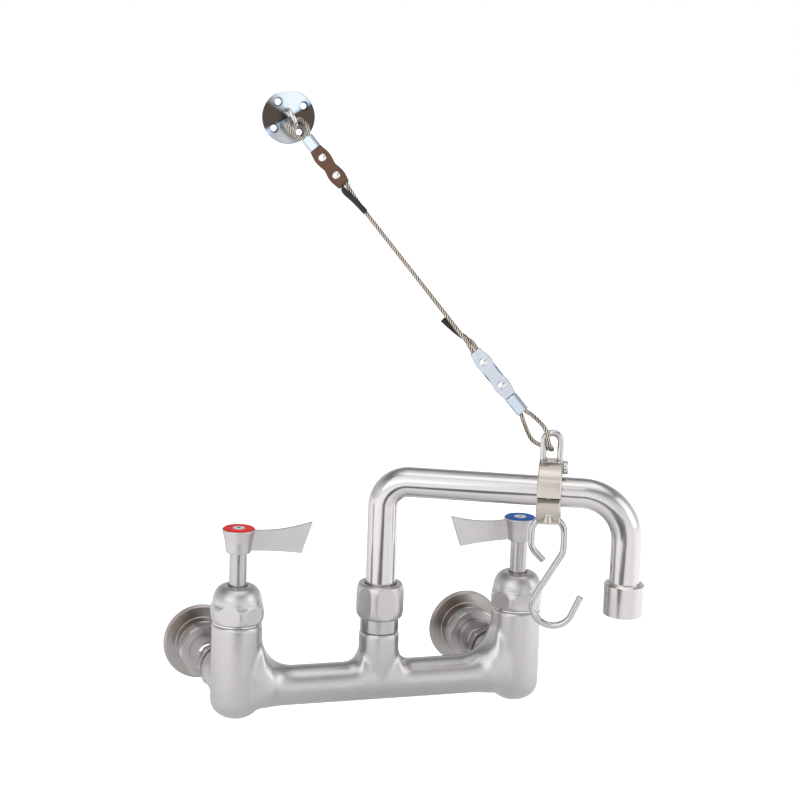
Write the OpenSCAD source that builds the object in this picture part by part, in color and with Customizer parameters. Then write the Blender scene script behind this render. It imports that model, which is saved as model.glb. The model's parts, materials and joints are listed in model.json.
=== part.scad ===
/* [Inlets and body] */
// Distance between the axes of the two wall inlets
inlet_centres = 203.2; // [190:0.1:240]
// Distance from the wall to the axis of the body
wall_to_axis = 86; // [84:0.5:110]
// Sideways offset that the eccentric couplings give the body
offset_side = 8; // [0:0.5:8]
// Drop that the eccentric couplings give the body
offset_drop = 6.5; // [0:0.5:6.5]
// Radius of each valve pillar
pillar_r = 17.5; // [17:0.1:19]
// Height of the pillars above the bar's axis
pillar_top = 47.5; // [46:0.5:56]
// Depth of the pillars' rounded ends below the bar's axis
pillar_drop = 20.5; // [19:0.5:26]
// Radius of the cross bar
bar_r = 13.75; // [12.5:0.05:15]
// Radius of the fillets from the bar up to the pillars
fillet_r = 16; // [8:0.5:20]
// Radius of the centre boss
boss_r = 14; // [13.6:0.1:16]
// Height of the centre boss above the bar's axis
boss_top = 36.2; // [34:0.1:42]
// Radius of the inlet bosses behind the pillars
inlet_boss_r = 15.5; // [14:0.1:17]

/* [Wall fittings] */
// Radius of the wall flanges
flange_r = 27.5; // [24:0.1:34]
// Thickness of the wall flanges
flange_t = 3; // [2:0.1:5]
// Radius of the flange hubs
flange_hub_r = 18.5; // [18:0.1:21]
// Length of the flange hubs from the wall
flange_hub_len = 13; // [12:0.1:16]
// Distance across the flats of the union nuts
union_flats = 36; // [34:0.1:40]
// Length of the union nuts
union_len = 12; // [10:0.1:14]
// Distance across the flats of the eccentric couplings
coupling_flats = 32; // [30:0.1:36]
// Length of the couplings' octagons
coupling_len = 13; // [10:0.1:15]
// Radius of the inlet bores
inlet_bore_r = 8; // [6:0.1:9]

/* [Valves and levers] */
// Distance across the flats of the bonnets
bonnet_flats = 34.2; // [33:0.1:38]
// Height of the bonnets' hexagons
bonnet_hex_h = 14; // [11:0.1:18]
// Height of the bonnets' domes
bonnet_dome_h = 11; // [9:0.1:14]
// Radius of the valve spindles
spindle_r = 6; // [5:0.05:6.4]
// Clear height of the spindles above the bonnets
spindle_show = 23; // [12:0.5:40]
// Radius of the lever hubs at the foot
hub_foot_r = 8.6; // [8:0.1:10]
// Radius of the lever hubs at the top
hub_top_r = 11.5; // [11.2:0.1:14]
// Height of the lever hubs
hub_h = 16.5; // [14:0.5:24]
// Reach of the lever blades from the spindle axis
blade_reach = 51.5; // [36:0.5:80]
// Thickness of the lever blades
blade_t = 2.8; // [2:0.1:5]

/* [Spout] */
// Outer radius of the spout tube
tube_r = 10.4; // [10:0.05:10.7]
// Wall of the spout tube
tube_wall = 1.4; // [1:0.05:1.4]
// Height of the spout's arm above the bar's axis
arm_h = 143; // [120:1:220]
// Length of the arm from the riser's axis to the outlet's axis
arm_len = 167; // [145:1:300]
// Radius of the bend from riser to arm
riser_bend_r = 18; // [16:0.5:30]
// Radius of the bend from arm to outlet
outlet_bend_r = 31; // [16:0.5:36]
// Height of the nozzle's mouth above the bar's axis
nozzle_foot = 60.5; // [40:0.5:72]
// Height of the nozzle
nozzle_h = 22.5; // [18:0.5:30]
// Outer radius of the nozzle at its top
nozzle_r = 13.8; // [13:0.1:16]
// Angle of the arm forward from the wall's direction
spout_turn = 24.5; // [0:0.5:60]
// Across the rounded corners of the swivel nut, as a radius
swivel_r = 16.7; // [16.2:0.1:19]
// Distance across the flats of the swivel nut
swivel_flats = 31; // [30:0.1:36]
// Height of the swivel nut
swivel_h = 23.9; // [22:0.1:30]

/* [Collar, shackle and hook] */
// Distance of the collar back from the outlet's axis
collar_back = 53; // [45:1:67]
// Outer radius of the split collar
collar_r = 23; // [22:0.1:26]
// Width of the collar along the arm
collar_w = 16; // [14:0.1:20]
// Width of the lugs left between the collar's pockets
lug_t = 6.4; // [5:0.1:7]
// Radius of the shackle's rod
shackle_wire_r = 2.3; // [2:0.05:2.4]
// Height of the shackle's top above the arm's axis
shackle_top = 42.8; // [42:0.1:46]
// Radius of the hook's rod
hook_wire_r = 2.35; // [1.8:0.05:2.4]
// Radius of the hook's upper bend
hook_eye_r = 11; // [10.8:0.1:13]
// Radius of the hook's lower bend
hook_bowl_r = 14; // [10:0.5:20]

/* [Stay cable] */
// Place of the wall plate's centre to the right of the inlets' middle
plate_x = -45.5; // [-60:0.1:-40]
// Height of the wall plate's centre above the inlets
plate_z = 381.1; // [375:0.1:390]
// Radius of the wall plate
plate_r = 19; // [18:0.1:26]
// Thickness of the wall plate
plate_t = 3; // [2:0.1:5]
// Diameter of the circle of the plate's four screws
plate_pcd = 26.4; // [25:0.1:36]
// Radius of the plate's screw holes
plate_hole_r = 2.25; // [1.5:0.05:2.5]
// Radius of the wall eye's rod
eye_wire_r = 1.6; // [1.5:0.05:1.7]
// Diameter of the wire rope
rope_d = 3.2; // [2.4:0.1:3.2]
// Length of the upper rope clip
upper_clip_len = 32; // [30:0.5:34]
// Length of the lower rope clip
lower_clip_len = 39; // [36:0.5:42]
// Length of the upper ferrule
upper_ferrule_len = 10; // [8:0.5:10]
// Length of the lower ferrule
lower_ferrule_len = 13; // [10:0.5:13]

/* [Hidden] */
$fn = 64;

// Overrun of every cut past the face it opens
over = 0.5;
// Radial gap where one piece fits inside another of its own body
fit = 0.1;
// Radial gap where a piece turns in another
run = 0.05;
// Gap between pieces that pass each other
pass = 0.3;
// Small break on turned edges
edge = 0.6;

inlet_half = inlet_centres / 2;
// Radius of the spout tube's bore
tube_bore_r = tube_r - tube_wall;

// Waterways in the body
port_r = 5;
feed_r = 6.5;
duct_r = 3.2;
duct_out = 12;
channel_r = 6;
chamber_r = 12.9;
chamber_floor = 24.5;
neck_bore_r = 10.1;
neck_bore_depth = 16;

// Ceramic discs and headwork
disc_r = 10.2;
disc_t = 3;
disc_port_r = 2.6;
disc_port_out = 5.4;
spindle_flange_t = 3.5;
headwork_rim_t = 1;
headwork_rim_r = pillar_r - edge;
headwork_neck_r = 10.8;
headwork_top = pillar_top + headwork_rim_t + bonnet_hex_h + bonnet_dome_h / 3;
spindle_foot = chamber_floor + 2 * disc_t;

// Bonnets
bonnet_foot = pillar_top + headwork_rim_t;
bonnet_r = 18.1;
bonnet_dome_r = 17.2;
bonnet_flat_r = 9.2;
bonnet_gap = 1;
bonnet_hole_r = spindle_r + bonnet_gap;
bonnet_top = bonnet_foot + bonnet_hex_h + bonnet_dome_h;

// Levers
hub_foot = bonnet_top + spindle_show;
hub_top = hub_foot + hub_h;
spindle_neck_r = 5;
spindle_seat = 1.6;
ring_r = 10.5;
ring_hole_r = 4.7;
ring_t = 1.3;
screw_head_r = 4.5;
screw_head_t = 1.6;
screw_r = 2;
screw_depth = 12;
drive_r = 1.4;

// Wall fittings, measured from the wall
union_gap = 0.4;
union_start = flange_hub_len + union_gap;
coupling_start = union_start + union_len + union_gap;
boss_face = coupling_start + coupling_len + 2 * union_gap;
washer_t = 2 * union_gap;
thread_r = 12.5;
tail_r = 10.2;
tail_depth = 9;

// Swivel joint, measured from the bar's axis
neck_r = 13.3;
neck_h = 10.1;
neck_tail = 14;
neck_thread_r = 12;
neck_thread_h = 12;
swivel_foot = boss_top + neck_h;
neck_top = swivel_foot + neck_thread_h;
retainer_r = 13.4;
retainer_t = 3.6;
swivel_hole_r = tube_r + 1.5 * edge;
spigot_bore_r = 6.6;
spigot_foot = 26.2;
spigot_rise = 9;
seal_r = 0.8;
seal_places = [10, 16];
riser_foot = neck_top + over;

// Nozzle
nozzle_taper = 0.4;
tube_stop = 8.5;
mouth_r = 10.6;
mouth_depth = 4.4;
straightener_r = 9.6;
straightener_t = 4;
straightener_hole_r = 1.1;
straightener_pitch = 3;

// Collar, in the arm's frame
split_gap = 0.8;
pin_h = 17;
pin_r = 2.25;
eyelet_r = 5.2;
pocket_r = 5.8;
lug_top = 21.6;
clamp_screw_out = 16.4;
clamp_screw_r = 2;
clamp_head_r = 3.5;
clamp_head_h = 4;
clamp_head_at = 8;
clamp_reach = 9;
hook_hole_r = 3.8;
hook_hole_h = 17.3;

// Shackle
shackle_leg = lug_t / 2 + fit * 2 + shackle_wire_r;
shackle_arch_h = shackle_top - shackle_wire_r - shackle_leg;
eyelet_t = 2 * shackle_wire_r - 2 * fit;
pin_head_r = 4.5;
pin_head_t = 3.4;
pin_socket_r = 1.9;

// Hook: each step is a straight length, a bend radius and a bend angle
hook_seat = 17.8;
hook_cut_end = 9;
hook_knee_r = 8;
hook_side = 8;
hook_back = 10;
hook_waist_r = 12;
hook_shank = 33;
hook_tip = 14.5;
hook_steps = [
    [hook_cut_end, hook_knee_r, 45],
    [hook_side, hook_eye_r, 180],
    [hook_back, hook_waist_r, 29.28],
    [hook_shank, hook_bowl_r, -186.08],
    [hook_tip, 0, 0]
];
hook_start_turn = -45;

// Wall eye and rope loops
eye_half = 6.1;
eye_straight = 7.3;
eye_lean = 28;
eye_pull = 69;
rope_r = rope_d / 2;
rope_sides = 8;
// Longer stretches of the rope run straight
rope_span = 20;
plate_turn = 36.8;
plate_sink_r = 3.5;
plate_sink = 1.6;

// Places of the cable, in the row's frame
arm_dir = [cos(spout_turn), -sin(spout_turn), 0];
collar_at = arm_len - collar_back;
riser_foot_at = [offset_side, -wall_to_axis, -offset_drop];
loop_rise = 29.2;
eye_seat = eye_half - 2 * rope_r - pass - eye_wire_r + rope_r;
eye_arch_at = [plate_x, -plate_t - eye_straight, plate_z];
eye_dir = [sin(eye_lean), 0, -cos(eye_lean)];
eye_at = eye_arch_at + eye_seat * (eye_dir * sin(eye_pull) - [0, cos(eye_pull), 0]);
bow_at = riser_foot_at + arm_dir * collar_at + [0, 0, arm_h + loop_rise];
cable_len = norm(bow_at - eye_at);
cable_dir = (bow_at - eye_at) / cable_len;
view_share = [-0.4, -0.9, 0.2];
cable_out = unit(view_share - (view_share * cable_dir) * cable_dir);
cable_side = cross(cable_out, cable_dir);

// Clips, ferrules and sleeves, measured along the cable
strand_gap = 1.9;
upper_ferrule_at = 16;
upper_clip_at = upper_ferrule_at + upper_ferrule_len + over;
upper_clip_screws_at = [8, 24];
lower_ferrule_end = 32;
lower_ferrule_at = cable_len - lower_ferrule_end - lower_ferrule_len;
lower_clip_at = lower_ferrule_at - over - lower_clip_len;
lower_clip_screws_at = [9.5, 29.5];
clip_half = 4.4;
clip_bump = 1.4;
clip_bump_run = 10;
clip_wall = 0.9;
clip_t = 3.4;
clip_gap = 0.5;
clip_screw_r = 1.4;
clip_head_r = 2.9;
clip_head_t = 0.8;
clip_nut_r = 2.9;
clip_nut_t = 2.2;
ferrule_wall = 0.95;
sleeve_wall = 0.45;
upper_sleeve_rings = 5;
lower_sleeve_rings = 3;

// Route of the rope: sideways, outward and along, from the wall eye's point
// The last loop's points count back from the cable's far end
upper_route = [
    [0.2, 4.2, 84], [-0.8, 3.9, 73], [-2.3, 2, 64], [-1.9, 0, 58], [-3.15, 0, 50.5],
    [-1.9, 0, 42.5], [-3.15, 0, 34.5], [-1.95, 0, 26], [-1.95, 0, 16], [-5.6, 0.1, 9],
    [-4.4, 4.2, 0.8], [0, 0, 0], [4.5, -4.7, 1.7], [5.2, 0, 9.3], [1.95, 0, 16],
    [1.95, 0, 26], [3.15, 0, 34.5], [1.9, 0, 42.5], [3.15, 0, 50.5],
    [1.7, 0, 60], [0.8, 0, 68], [0, 0, 78], [0, 0, 88]
];
lower_route = [
    [-0.3, 0, 103], [-0.7, 0, 91], [-3.15, 0, 75], [-1.9, 0, 65], [-3.15, 0, 55], [-1.95, 0, 45], [-1.95, 0, 32],
    [-3.5, 0, 27], [-7, -9.4, 14], [-2.9, -7.5, 4], [0, 0, 0], [0.8, 5.4, 4], [5, 7.3, 14], [3.5, 0, 27],
    [1.95, 0, 32], [1.95, 0, 45], [3.15, 0, 55], [1.9, 0, 65], [3.15, 0, 75], [1.9, 0, 84],
    [2.1, -2, 91.5], [-1.4, -3.9, 102], [-4, -1.2, 116]
];

function unit(v) = v / norm(v);
function arc(cx, cy, r, from, to, n) =
    [for (i = [0 : n]) [cx + r * cos(from + (to - from) * i / n), cy + r * sin(from + (to - from) * i / n)]];
function on_cable_point(p) = eye_at + cable_side * p[0] + cable_out * p[1] + cable_dir * p[2];

// A rod or tube that runs up from the origin and bends towards +X, step by step
module wire_run(steps, wire_r, bore_r = 0, i = 0) {
    if (i < len(steps)) {
        straight = steps[i][0];
        bend_r = steps[i][1];
        hand = sign(steps[i][2]);
        angle = abs(steps[i][2]);
        linear_extrude(straight) ring(wire_r, bore_r);
        translate([0, 0, straight]) {
            if (angle > 0)
                mirror([hand < 0 ? 1 : 0, 0, 0]) translate([bend_r, 0, 0]) rotate([90, 0, 0])
                    rotate([0, 0, 180 - angle]) rotate_extrude(angle = angle)
                        translate([bend_r, 0]) ring(wire_r, bore_r);
            translate([hand * bend_r, 0, 0]) rotate([0, hand * angle, 0])
                translate([-hand * bend_r, 0, 0]) wire_run(steps, wire_r, bore_r, i + 1);
        }
    }
}

module ring(r, bore_r) {
    if (bore_r > 0)
        difference() {
            circle(r);
            circle(bore_r);
        }
    else
        circle(r);
}

// A turned barrel with rounded ends and milled flats
module flat_barrel(h, r, flats, sides, round_r) {
    intersection() {
        rotate_extrude() polygon(concat([[0, 0]], arc(r - round_r, round_r, round_r, -90, 0, 6),
            arc(r - round_r, h - round_r, round_r, 0, 90, 6), [[0, h]]));
        cylinder(h = h, r = flats / 2 / cos(180 / sides), $fn = sides);
    }
}

// A tube with broken outer edges
module turned(r, h, break_r) {
    rotate_extrude() polygon([[0, 0], [r - break_r, 0], [r, break_r], [r, h - break_r],
        [r - break_r, h], [0, h]]);
}

module at_body() {
    translate([offset_side, -wall_to_axis, -offset_drop]) children();
}

module at_pillar(side) {
    at_body() translate([side * inlet_half, 0, 0]) children();
}

// The wall side: +Z of the child runs from the wall towards the room
module at_wall(side) {
    translate([side * inlet_half, 0, 0]) rotate([90, 0, 0]) children();
}

module at_inlet_boss(side) {
    translate([side * inlet_half + offset_side, 0, -offset_drop]) rotate([90, 0, 0]) children();
}

module at_spout() {
    at_body() rotate([0, 0, -spout_turn]) children();
}

module on_arm() {
    at_spout() translate([collar_at, 0, arm_h]) children();
}

module on_cable(along) {
    x = cable_side;
    y = cable_out;
    z = cable_dir;
    o = on_cable_point([0, 0, along]);
    multmatrix([[x[0], y[0], z[0], o[0]], [x[1], y[1], z[1], o[1]], [x[2], y[2], z[2], o[2]], [0, 0, 0, 1]])
        children();
}

// Body: a lofted bar that swells into its pillars, with the centre boss
bar_steps = 36;
bar_sides = 24;
bar_belly = 3;
boss_flare = 7;
function blend(d, r) = d >= r ? 0 : r - sqrt(r * r - pow(r - max(d, 0), 2));
function bar_up(x) = bar_r + max(blend(inlet_half - pillar_r - abs(x), fillet_r), blend(abs(x) - boss_r, boss_flare));
function bar_down(x) = bar_r + bar_belly * pow(max(0, 1 - (inlet_half - abs(x)) / (2 * pillar_r)), 2);
function bar_deep(x) = bar_r + min(blend(inlet_half - pillar_r - abs(x), fillet_r / 3), pillar_r - bar_r - edge);
function bar_ring(x) = [for (j = [0 : bar_sides - 1]) let (a = 360 * j / bar_sides)
    [x, bar_deep(x) * cos(a), sin(a) > 0 ? bar_up(x) * sin(a) : bar_down(x) * sin(a)]];
function tube_faces(rings, sides) = concat(
    [[for (j = [0 : sides - 1]) j]],
    [for (i = [0 : rings - 2], j = [0 : sides - 1]) let (k = (j + 1) % sides)
        each [[i * sides + j, (i + 1) * sides + j, (i + 1) * sides + k], [i * sides + j, (i + 1) * sides + k, i * sides + k]]],
    [[for (j = [sides - 1 : -1 : 0]) (rings - 1) * sides + j]]);

module body_bar() {
    half = inlet_half - pillar_r / 2;
    polyhedron([for (i = [0 : bar_steps]) each bar_ring(half * (2 * i / bar_steps - 1))],
        tube_faces(bar_steps + 1, bar_sides));
}

module pillar() {
    cylinder(r = pillar_r, h = pillar_top);
    belly_r = pillar_r * pillar_share;
    intersection() {
        translate([0, 0, -pillar_drop]) cylinder(r = pillar_r, h = pillar_drop + edge);
        translate([0, 0, belly_r - pillar_drop]) sphere(belly_r);
    }
}
pillar_share = 1.35;

module body() {
    color("silver") {
        difference() {
            union() {
                at_body() {
                    body_bar();
                    rotate_extrude() polygon(concat([[0, 0], [boss_r + boss_flare / 2, 0]],
                        arc(boss_r + boss_flare, bar_r + boss_flare / 2, boss_flare, 210, 180, 5),
                        [[boss_r, boss_top - edge], [boss_r - edge, boss_top], [0, boss_top]]));
                }
                for (side = [-1, 1]) {
                    at_pillar(side) pillar();
                    at_inlet_boss(side) translate([0, 0, boss_face])
                        rotate_extrude() polygon([[0, 0], [inlet_boss_r - edge, 0], [inlet_boss_r, edge],
                            [inlet_boss_r, (wall_to_axis - boss_face) / 2],
                            [pillar_r - edge, wall_to_axis - boss_face], [0, wall_to_axis - boss_face]]);
                }
            }
            for (side = [-1, 1]) {
                at_pillar(side) {
                    translate([0, 0, chamber_floor]) cylinder(r = chamber_r, h = pillar_top);
                    cylinder(r = port_r, h = chamber_floor + over);
                    translate([-side * duct_out, 0, 0]) cylinder(r = duct_r, h = chamber_floor + over);
                }
                at_inlet_boss(side) translate([0, 0, boss_face - over])
                    cylinder(r = feed_r, h = wall_to_axis - boss_face + over);
                at_inlet_boss(side) translate([0, 0, boss_face - over])
                    cylinder(r = tail_r + fit, h = tail_depth + over);
            }
            at_body() {
                translate([duct_out - inlet_half, 0, 0]) rotate([0, 90, 0])
                    cylinder(r = channel_r / 2, h = inlet_centres - 2 * duct_out);
                cylinder(r = channel_r, h = boss_top);
                translate([0, 0, boss_top - neck_bore_depth]) cylinder(r = neck_bore_r, h = boss_top);
            }
        }
    }
}

// Wall fittings
module flange(side) {
    color("gainsboro") at_wall(side) difference() {
        rotate_extrude() polygon([[0, 0], [flange_r, 0], [flange_r, flange_t / 2], [flange_r - flange_t / 2, flange_t],
            [flange_hub_r + edge, flange_t], [flange_hub_r, flange_t + edge],
            [flange_hub_r, flange_hub_len - edge], [flange_hub_r - edge, flange_hub_len], [0, flange_hub_len]]);
        translate([0, 0, -over]) cylinder(r = thread_r + fit, h = flange_hub_len + 2 * over);
    }
}

module union_nut(side) {
    color("silver") at_wall(side) translate([0, 0, union_start]) difference() {
        flat_barrel(union_len, union_flats / 2 + 2 * edge + over, union_flats, 6, 2 * edge);
        translate([0, 0, -over]) cylinder(r = thread_r + fit, h = union_len + 2 * over);
    }
}

// The eccentric coupling: a threaded tube on the inlet's axis, an octagon and a spigot on the body's axis
module coupling(side) {
    color("silver") difference() {
        union() {
            at_wall(side) cylinder(r = thread_r, h = coupling_start + over);
            at_inlet_boss(side) translate([0, 0, coupling_start])
                flat_barrel(coupling_len, coupling_flats / 2 + 2 * edge, coupling_flats, 8, 1.5 * edge);
            at_wall(side) translate([0, 0, coupling_start]) cylinder(r = thread_r + edge, h = coupling_len / 2);
            at_inlet_boss(side) translate([0, 0, coupling_start + coupling_len - over])
                cylinder(r = tail_r, h = washer_t + tail_depth);
        }
        at_wall(side) translate([0, 0, -over]) cylinder(r = inlet_bore_r, h = coupling_start + coupling_len / 2 + over);
        at_inlet_boss(side) translate([0, 0, coupling_start + coupling_len / 3])
            cylinder(r = feed_r, h = coupling_len + washer_t + tail_depth);
    }
}

module inlet_washer(side) {
    color("dimgray") at_inlet_boss(side) translate([0, 0, coupling_start + coupling_len])
        linear_extrude(washer_t) ring(inlet_boss_r - edge, tail_r + fit);
}

// Valves
module headwork(side) {
    color("goldenrod") at_pillar(side) difference() {
        union() {
            translate([0, 0, chamber_floor]) cylinder(r = chamber_r - fit, h = pillar_top - chamber_floor);
            translate([0, 0, pillar_top]) cylinder(r = headwork_rim_r, h = headwork_rim_t);
            translate([0, 0, pillar_top]) cylinder(r = headwork_neck_r, h = headwork_top - pillar_top);
        }
        translate([0, 0, chamber_floor - over]) cylinder(r = disc_r + fit,
            h = 2 * disc_t + spindle_flange_t + pass + over);
        cylinder(r = spindle_r + run, h = headwork_top + over);
    }
}

module ported_disc(turn) {
    difference() {
        cylinder(r = disc_r, h = disc_t);
        for (half = [0, 180])
            rotate([0, 0, turn + half]) translate([disc_port_out, 0, -over]) cylinder(r = disc_port_r, h = disc_t + 2 * over);
    }
}

module fixed_disc(side) {
    color("white") at_pillar(side) translate([0, 0, chamber_floor]) ported_disc(0);
}

module moving_disc(side) {
    color("whitesmoke") at_pillar(side) translate([0, 0, chamber_floor + disc_t]) ported_disc(90);
}

module spindle(side) {
    color("silver") at_pillar(side) difference() {
        union() {
            translate([0, 0, spindle_foot]) cylinder(r = disc_r, h = spindle_flange_t);
            translate([0, 0, spindle_foot]) cylinder(r = spindle_r, h = hub_foot + spindle_seat - spindle_foot);
            translate([0, 0, hub_foot]) cylinder(r = spindle_neck_r, h = hub_h - screw_head_t - 4 * edge);
        }
        translate([0, 0, hub_top - screw_depth - edge]) cylinder(r = screw_r + fit, h = screw_depth + edge);
    }
}

module bonnet(side) {
    color("silver") at_pillar(side) difference() {
        union() {
            translate([0, 0, bonnet_foot]) flat_barrel(bonnet_hex_h, bonnet_r, bonnet_flats, 6, 3 * edge);
            translate([0, 0, bonnet_foot + bonnet_hex_h]) rotate_extrude()
                polygon(concat([[0, -edge], [bonnet_dome_r, -edge]],
                    [for (i = [0 : 8]) let (a = 90 * i / 8)
                        [bonnet_flat_r + (bonnet_dome_r - bonnet_flat_r) * cos(a), bonnet_dome_h * sin(a)]],
                    [[0, bonnet_dome_h]]));
        }
        translate([0, 0, bonnet_foot - over]) cylinder(r = headwork_neck_r + 2 * fit,
            h = headwork_top - bonnet_foot + pass + over);
        translate([0, 0, bonnet_foot]) cylinder(r = bonnet_hole_r, h = bonnet_hex_h + bonnet_dome_h + over);
    }
}

// Levers: the blade's outline in shares of its reach and of the hub's height
blade_tip_share = 0.855;
blade_sag_share = 0.14;
blade_rise_share = 0.16;
blade_drop_share = 0.15;
blade_foot_share = 0.06;
module blade_outline() {
    tip = blade_reach;
    low_tip = blade_reach * blade_tip_share;
    n = 10;
    polygon(concat(
        [for (i = [0 : n]) let (s = i / n) [s * tip, hub_h * (1 + blade_rise_share * s * s - blade_sag_share * sin(180 * s))]],
        [[low_tip, -hub_h * blade_drop_share]],
        [for (i = [n - 1 : -1 : 0]) let (s = i / n) [s * low_tip, hub_h * (blade_foot_share - (blade_foot_share + blade_drop_share) * s * s)]]));
}

module lever(side) {
    color("lightgray") at_pillar(side) translate([0, 0, hub_foot]) difference() {
        union() {
            rotate_extrude() polygon([[0, 0], [hub_foot_r - edge, 0], [hub_foot_r, edge],
                [hub_foot_r + (hub_top_r - hub_foot_r) / 3, hub_h / 2], [hub_top_r, hub_h - edge],
                [hub_top_r - edge / 2, hub_h], [0, hub_h]]);
            rotate([0, 0, side > 0 ? 180 : 0]) rotate([90, 0, 0]) translate([0, 0, -blade_t / 2])
                linear_extrude(blade_t) blade_outline();
        }
        translate([0, 0, -over]) cylinder(r = spindle_r + fit, h = spindle_seat + fit + over);
        translate([0, 0, -over]) cylinder(r = spindle_neck_r + fit, h = hub_h - screw_head_t - 3 * edge + over);
        translate([0, 0, -over]) cylinder(r = screw_r + fit, h = hub_h + over);
        translate([0, 0, hub_h - screw_head_t]) cylinder(r = screw_head_r + fit, h = hub_h);
        translate([0, 0, hub_h - ring_t + edge]) cylinder(r = ring_r + fit, h = hub_h);
    }
}

module index_ring(side, tint) {
    color(tint) at_pillar(side) translate([0, 0, hub_top - ring_t + edge]) difference() {
        turned(ring_r, ring_t, edge / 2);
        translate([0, 0, -over]) cylinder(r = ring_hole_r, h = ring_t + 2 * over);
    }
}

module lever_screw(side) {
    color("silver") at_pillar(side) translate([0, 0, hub_top]) difference() {
        union() {
            translate([0, 0, -screw_head_t]) turned(screw_head_r, screw_head_t + edge, edge / 2);
            translate([0, 0, -screw_depth]) cylinder(r = screw_r, h = screw_depth);
        }
        translate([0, 0, -screw_head_t / 2]) cylinder(r = drive_r, h = screw_head_t + over, $fn = 6);
    }
}

// Swivel joint
module neck_ring() {
    color("whitesmoke") at_body() difference() {
        union() {
            translate([0, 0, boss_top - neck_tail]) cylinder(r = neck_bore_r - fit, h = neck_tail + over);
            translate([0, 0, boss_top]) turned(neck_r, neck_h, edge);
            translate([0, 0, swivel_foot - over]) cylinder(r = neck_thread_r, h = neck_thread_h + over);
        }
        translate([0, 0, boss_top - neck_tail - over])
            cylinder(r = tube_bore_r, h = neck_tail + neck_h + neck_thread_h + 2 * over);
    }
}

module swivel_nut() {
    color("silver") at_body() translate([0, 0, swivel_foot]) difference() {
        flat_barrel(swivel_h, swivel_r, swivel_flats, 6, 3 * edge);
        translate([0, 0, -over]) cylinder(r = neck_thread_r + fit, h = neck_thread_h + 2 * over);
        translate([0, 0, neck_thread_h]) cylinder(r = retainer_r + pass, h = retainer_t + over + pass);
        cylinder(r = swivel_hole_r, h = swivel_h + over);
    }
}

module spout_spigot() {
    color("silver") at_spout() translate([0, 0, spigot_foot]) difference() {
        cylinder(r = tube_bore_r - run, h = neck_top - spigot_foot + spigot_rise);
        translate([0, 0, -over]) cylinder(r = spigot_bore_r, h = neck_top - spigot_foot + spigot_rise + 2 * over);
        for (h = seal_places)
            translate([0, 0, h - seal_r]) rotate_extrude()
                translate([tube_bore_r - 2 * seal_r, 0]) square([2 * seal_r + over, 2 * seal_r]);
    }
}

module swivel_seals() {
    color("black") at_spout() translate([0, 0, spigot_foot]) for (h = seal_places)
        translate([0, 0, h]) rotate_extrude() translate([tube_bore_r - seal_r - run / 2, 0]) circle(seal_r - run);
}

module retaining_ring() {
    color("silver") at_spout() translate([0, 0, riser_foot]) linear_extrude(retainer_t) ring(retainer_r, tube_r + fit);
}

// Spout
outlet_drop = arm_h - outlet_bend_r - nozzle_foot - tube_stop;
module spout_tube() {
    color("lightgray") at_spout() translate([0, 0, riser_foot]) wire_run([
        [arm_h - riser_bend_r - riser_foot, riser_bend_r, 90],
        [arm_len - riser_bend_r - outlet_bend_r, outlet_bend_r, 90],
        [outlet_drop, 0, 0]], tube_r, tube_bore_r);
}

module nozzle() {
    color("silver") at_spout() translate([arm_len, 0, nozzle_foot]) difference() {
        rotate_extrude() polygon([[0, 0], [nozzle_r - nozzle_taper - edge, 0], [nozzle_r - nozzle_taper, edge],
            [nozzle_r, nozzle_h - 2 * edge], [nozzle_r - 2 * edge, nozzle_h], [0, nozzle_h]]);
        translate([0, 0, -over]) cylinder(r = mouth_r, h = mouth_depth + over);
        cylinder(r = straightener_r + fit, h = tube_stop);
        translate([0, 0, tube_stop]) cylinder(r = tube_r + fit, h = nozzle_h);
    }
}

module flow_straightener() {
    color("white") at_spout() translate([arm_len, 0, nozzle_foot + tube_stop - straightener_t + fit]) difference() {
        cylinder(r = straightener_r, h = straightener_t - 2 * fit);
        for (row = [0 : 2], k = [0 : max(1, 6 * row) - 1])
            rotate([0, 0, 60 * k / max(1, row)]) translate([row * straightener_pitch, 0, -over])
                cylinder(r = straightener_hole_r, h = straightener_t + 2 * over);
    }
}

// Collar: a split ring with milled pockets that leave a lug at the top and at the bottom
module collar_ring() {
    rotate([0, 90, 0]) translate([0, 0, -collar_w / 2]) difference() {
        turned(collar_r, collar_w, edge);
        translate([0, 0, -over]) cylinder(r = tube_r + run, h = collar_w + 2 * over);
    }
}

module pockets(depth_h) {
    for (face = [-1, 1])
        translate([face > 0 ? lug_t / 2 : -lug_t / 2 - collar_w, 0, 0]) {
            translate([0, 0, depth_h]) rotate([0, 90, 0]) cylinder(r = pocket_r, h = collar_w);
            translate([0, -pocket_r, depth_h]) cube([collar_w, 2 * pocket_r, collar_r]);
        }
}

module collar_half_space() {
    translate([-collar_w, -2 * collar_r, split_gap / 2]) cube([2 * collar_w, 4 * collar_r, 2 * collar_r]);
}

module collar_upper() {
    color("darkgray") on_arm() difference() {
        intersection() {
            collar_ring();
            collar_half_space();
        }
        pockets(pin_h);
        translate([-collar_w, -2 * pocket_r, lug_top]) cube([2 * collar_w, 4 * pocket_r, collar_r]);
        translate([-collar_w, 0, pin_h]) rotate([0, 90, 0]) cylinder(r = pin_r + run, h = 2 * collar_w);
        for (side = [-1, 1])
            translate([0, side * clamp_screw_out, -over]) cylinder(r = clamp_screw_r + fit, h = clamp_reach + 2 * over);
    }
}

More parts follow.
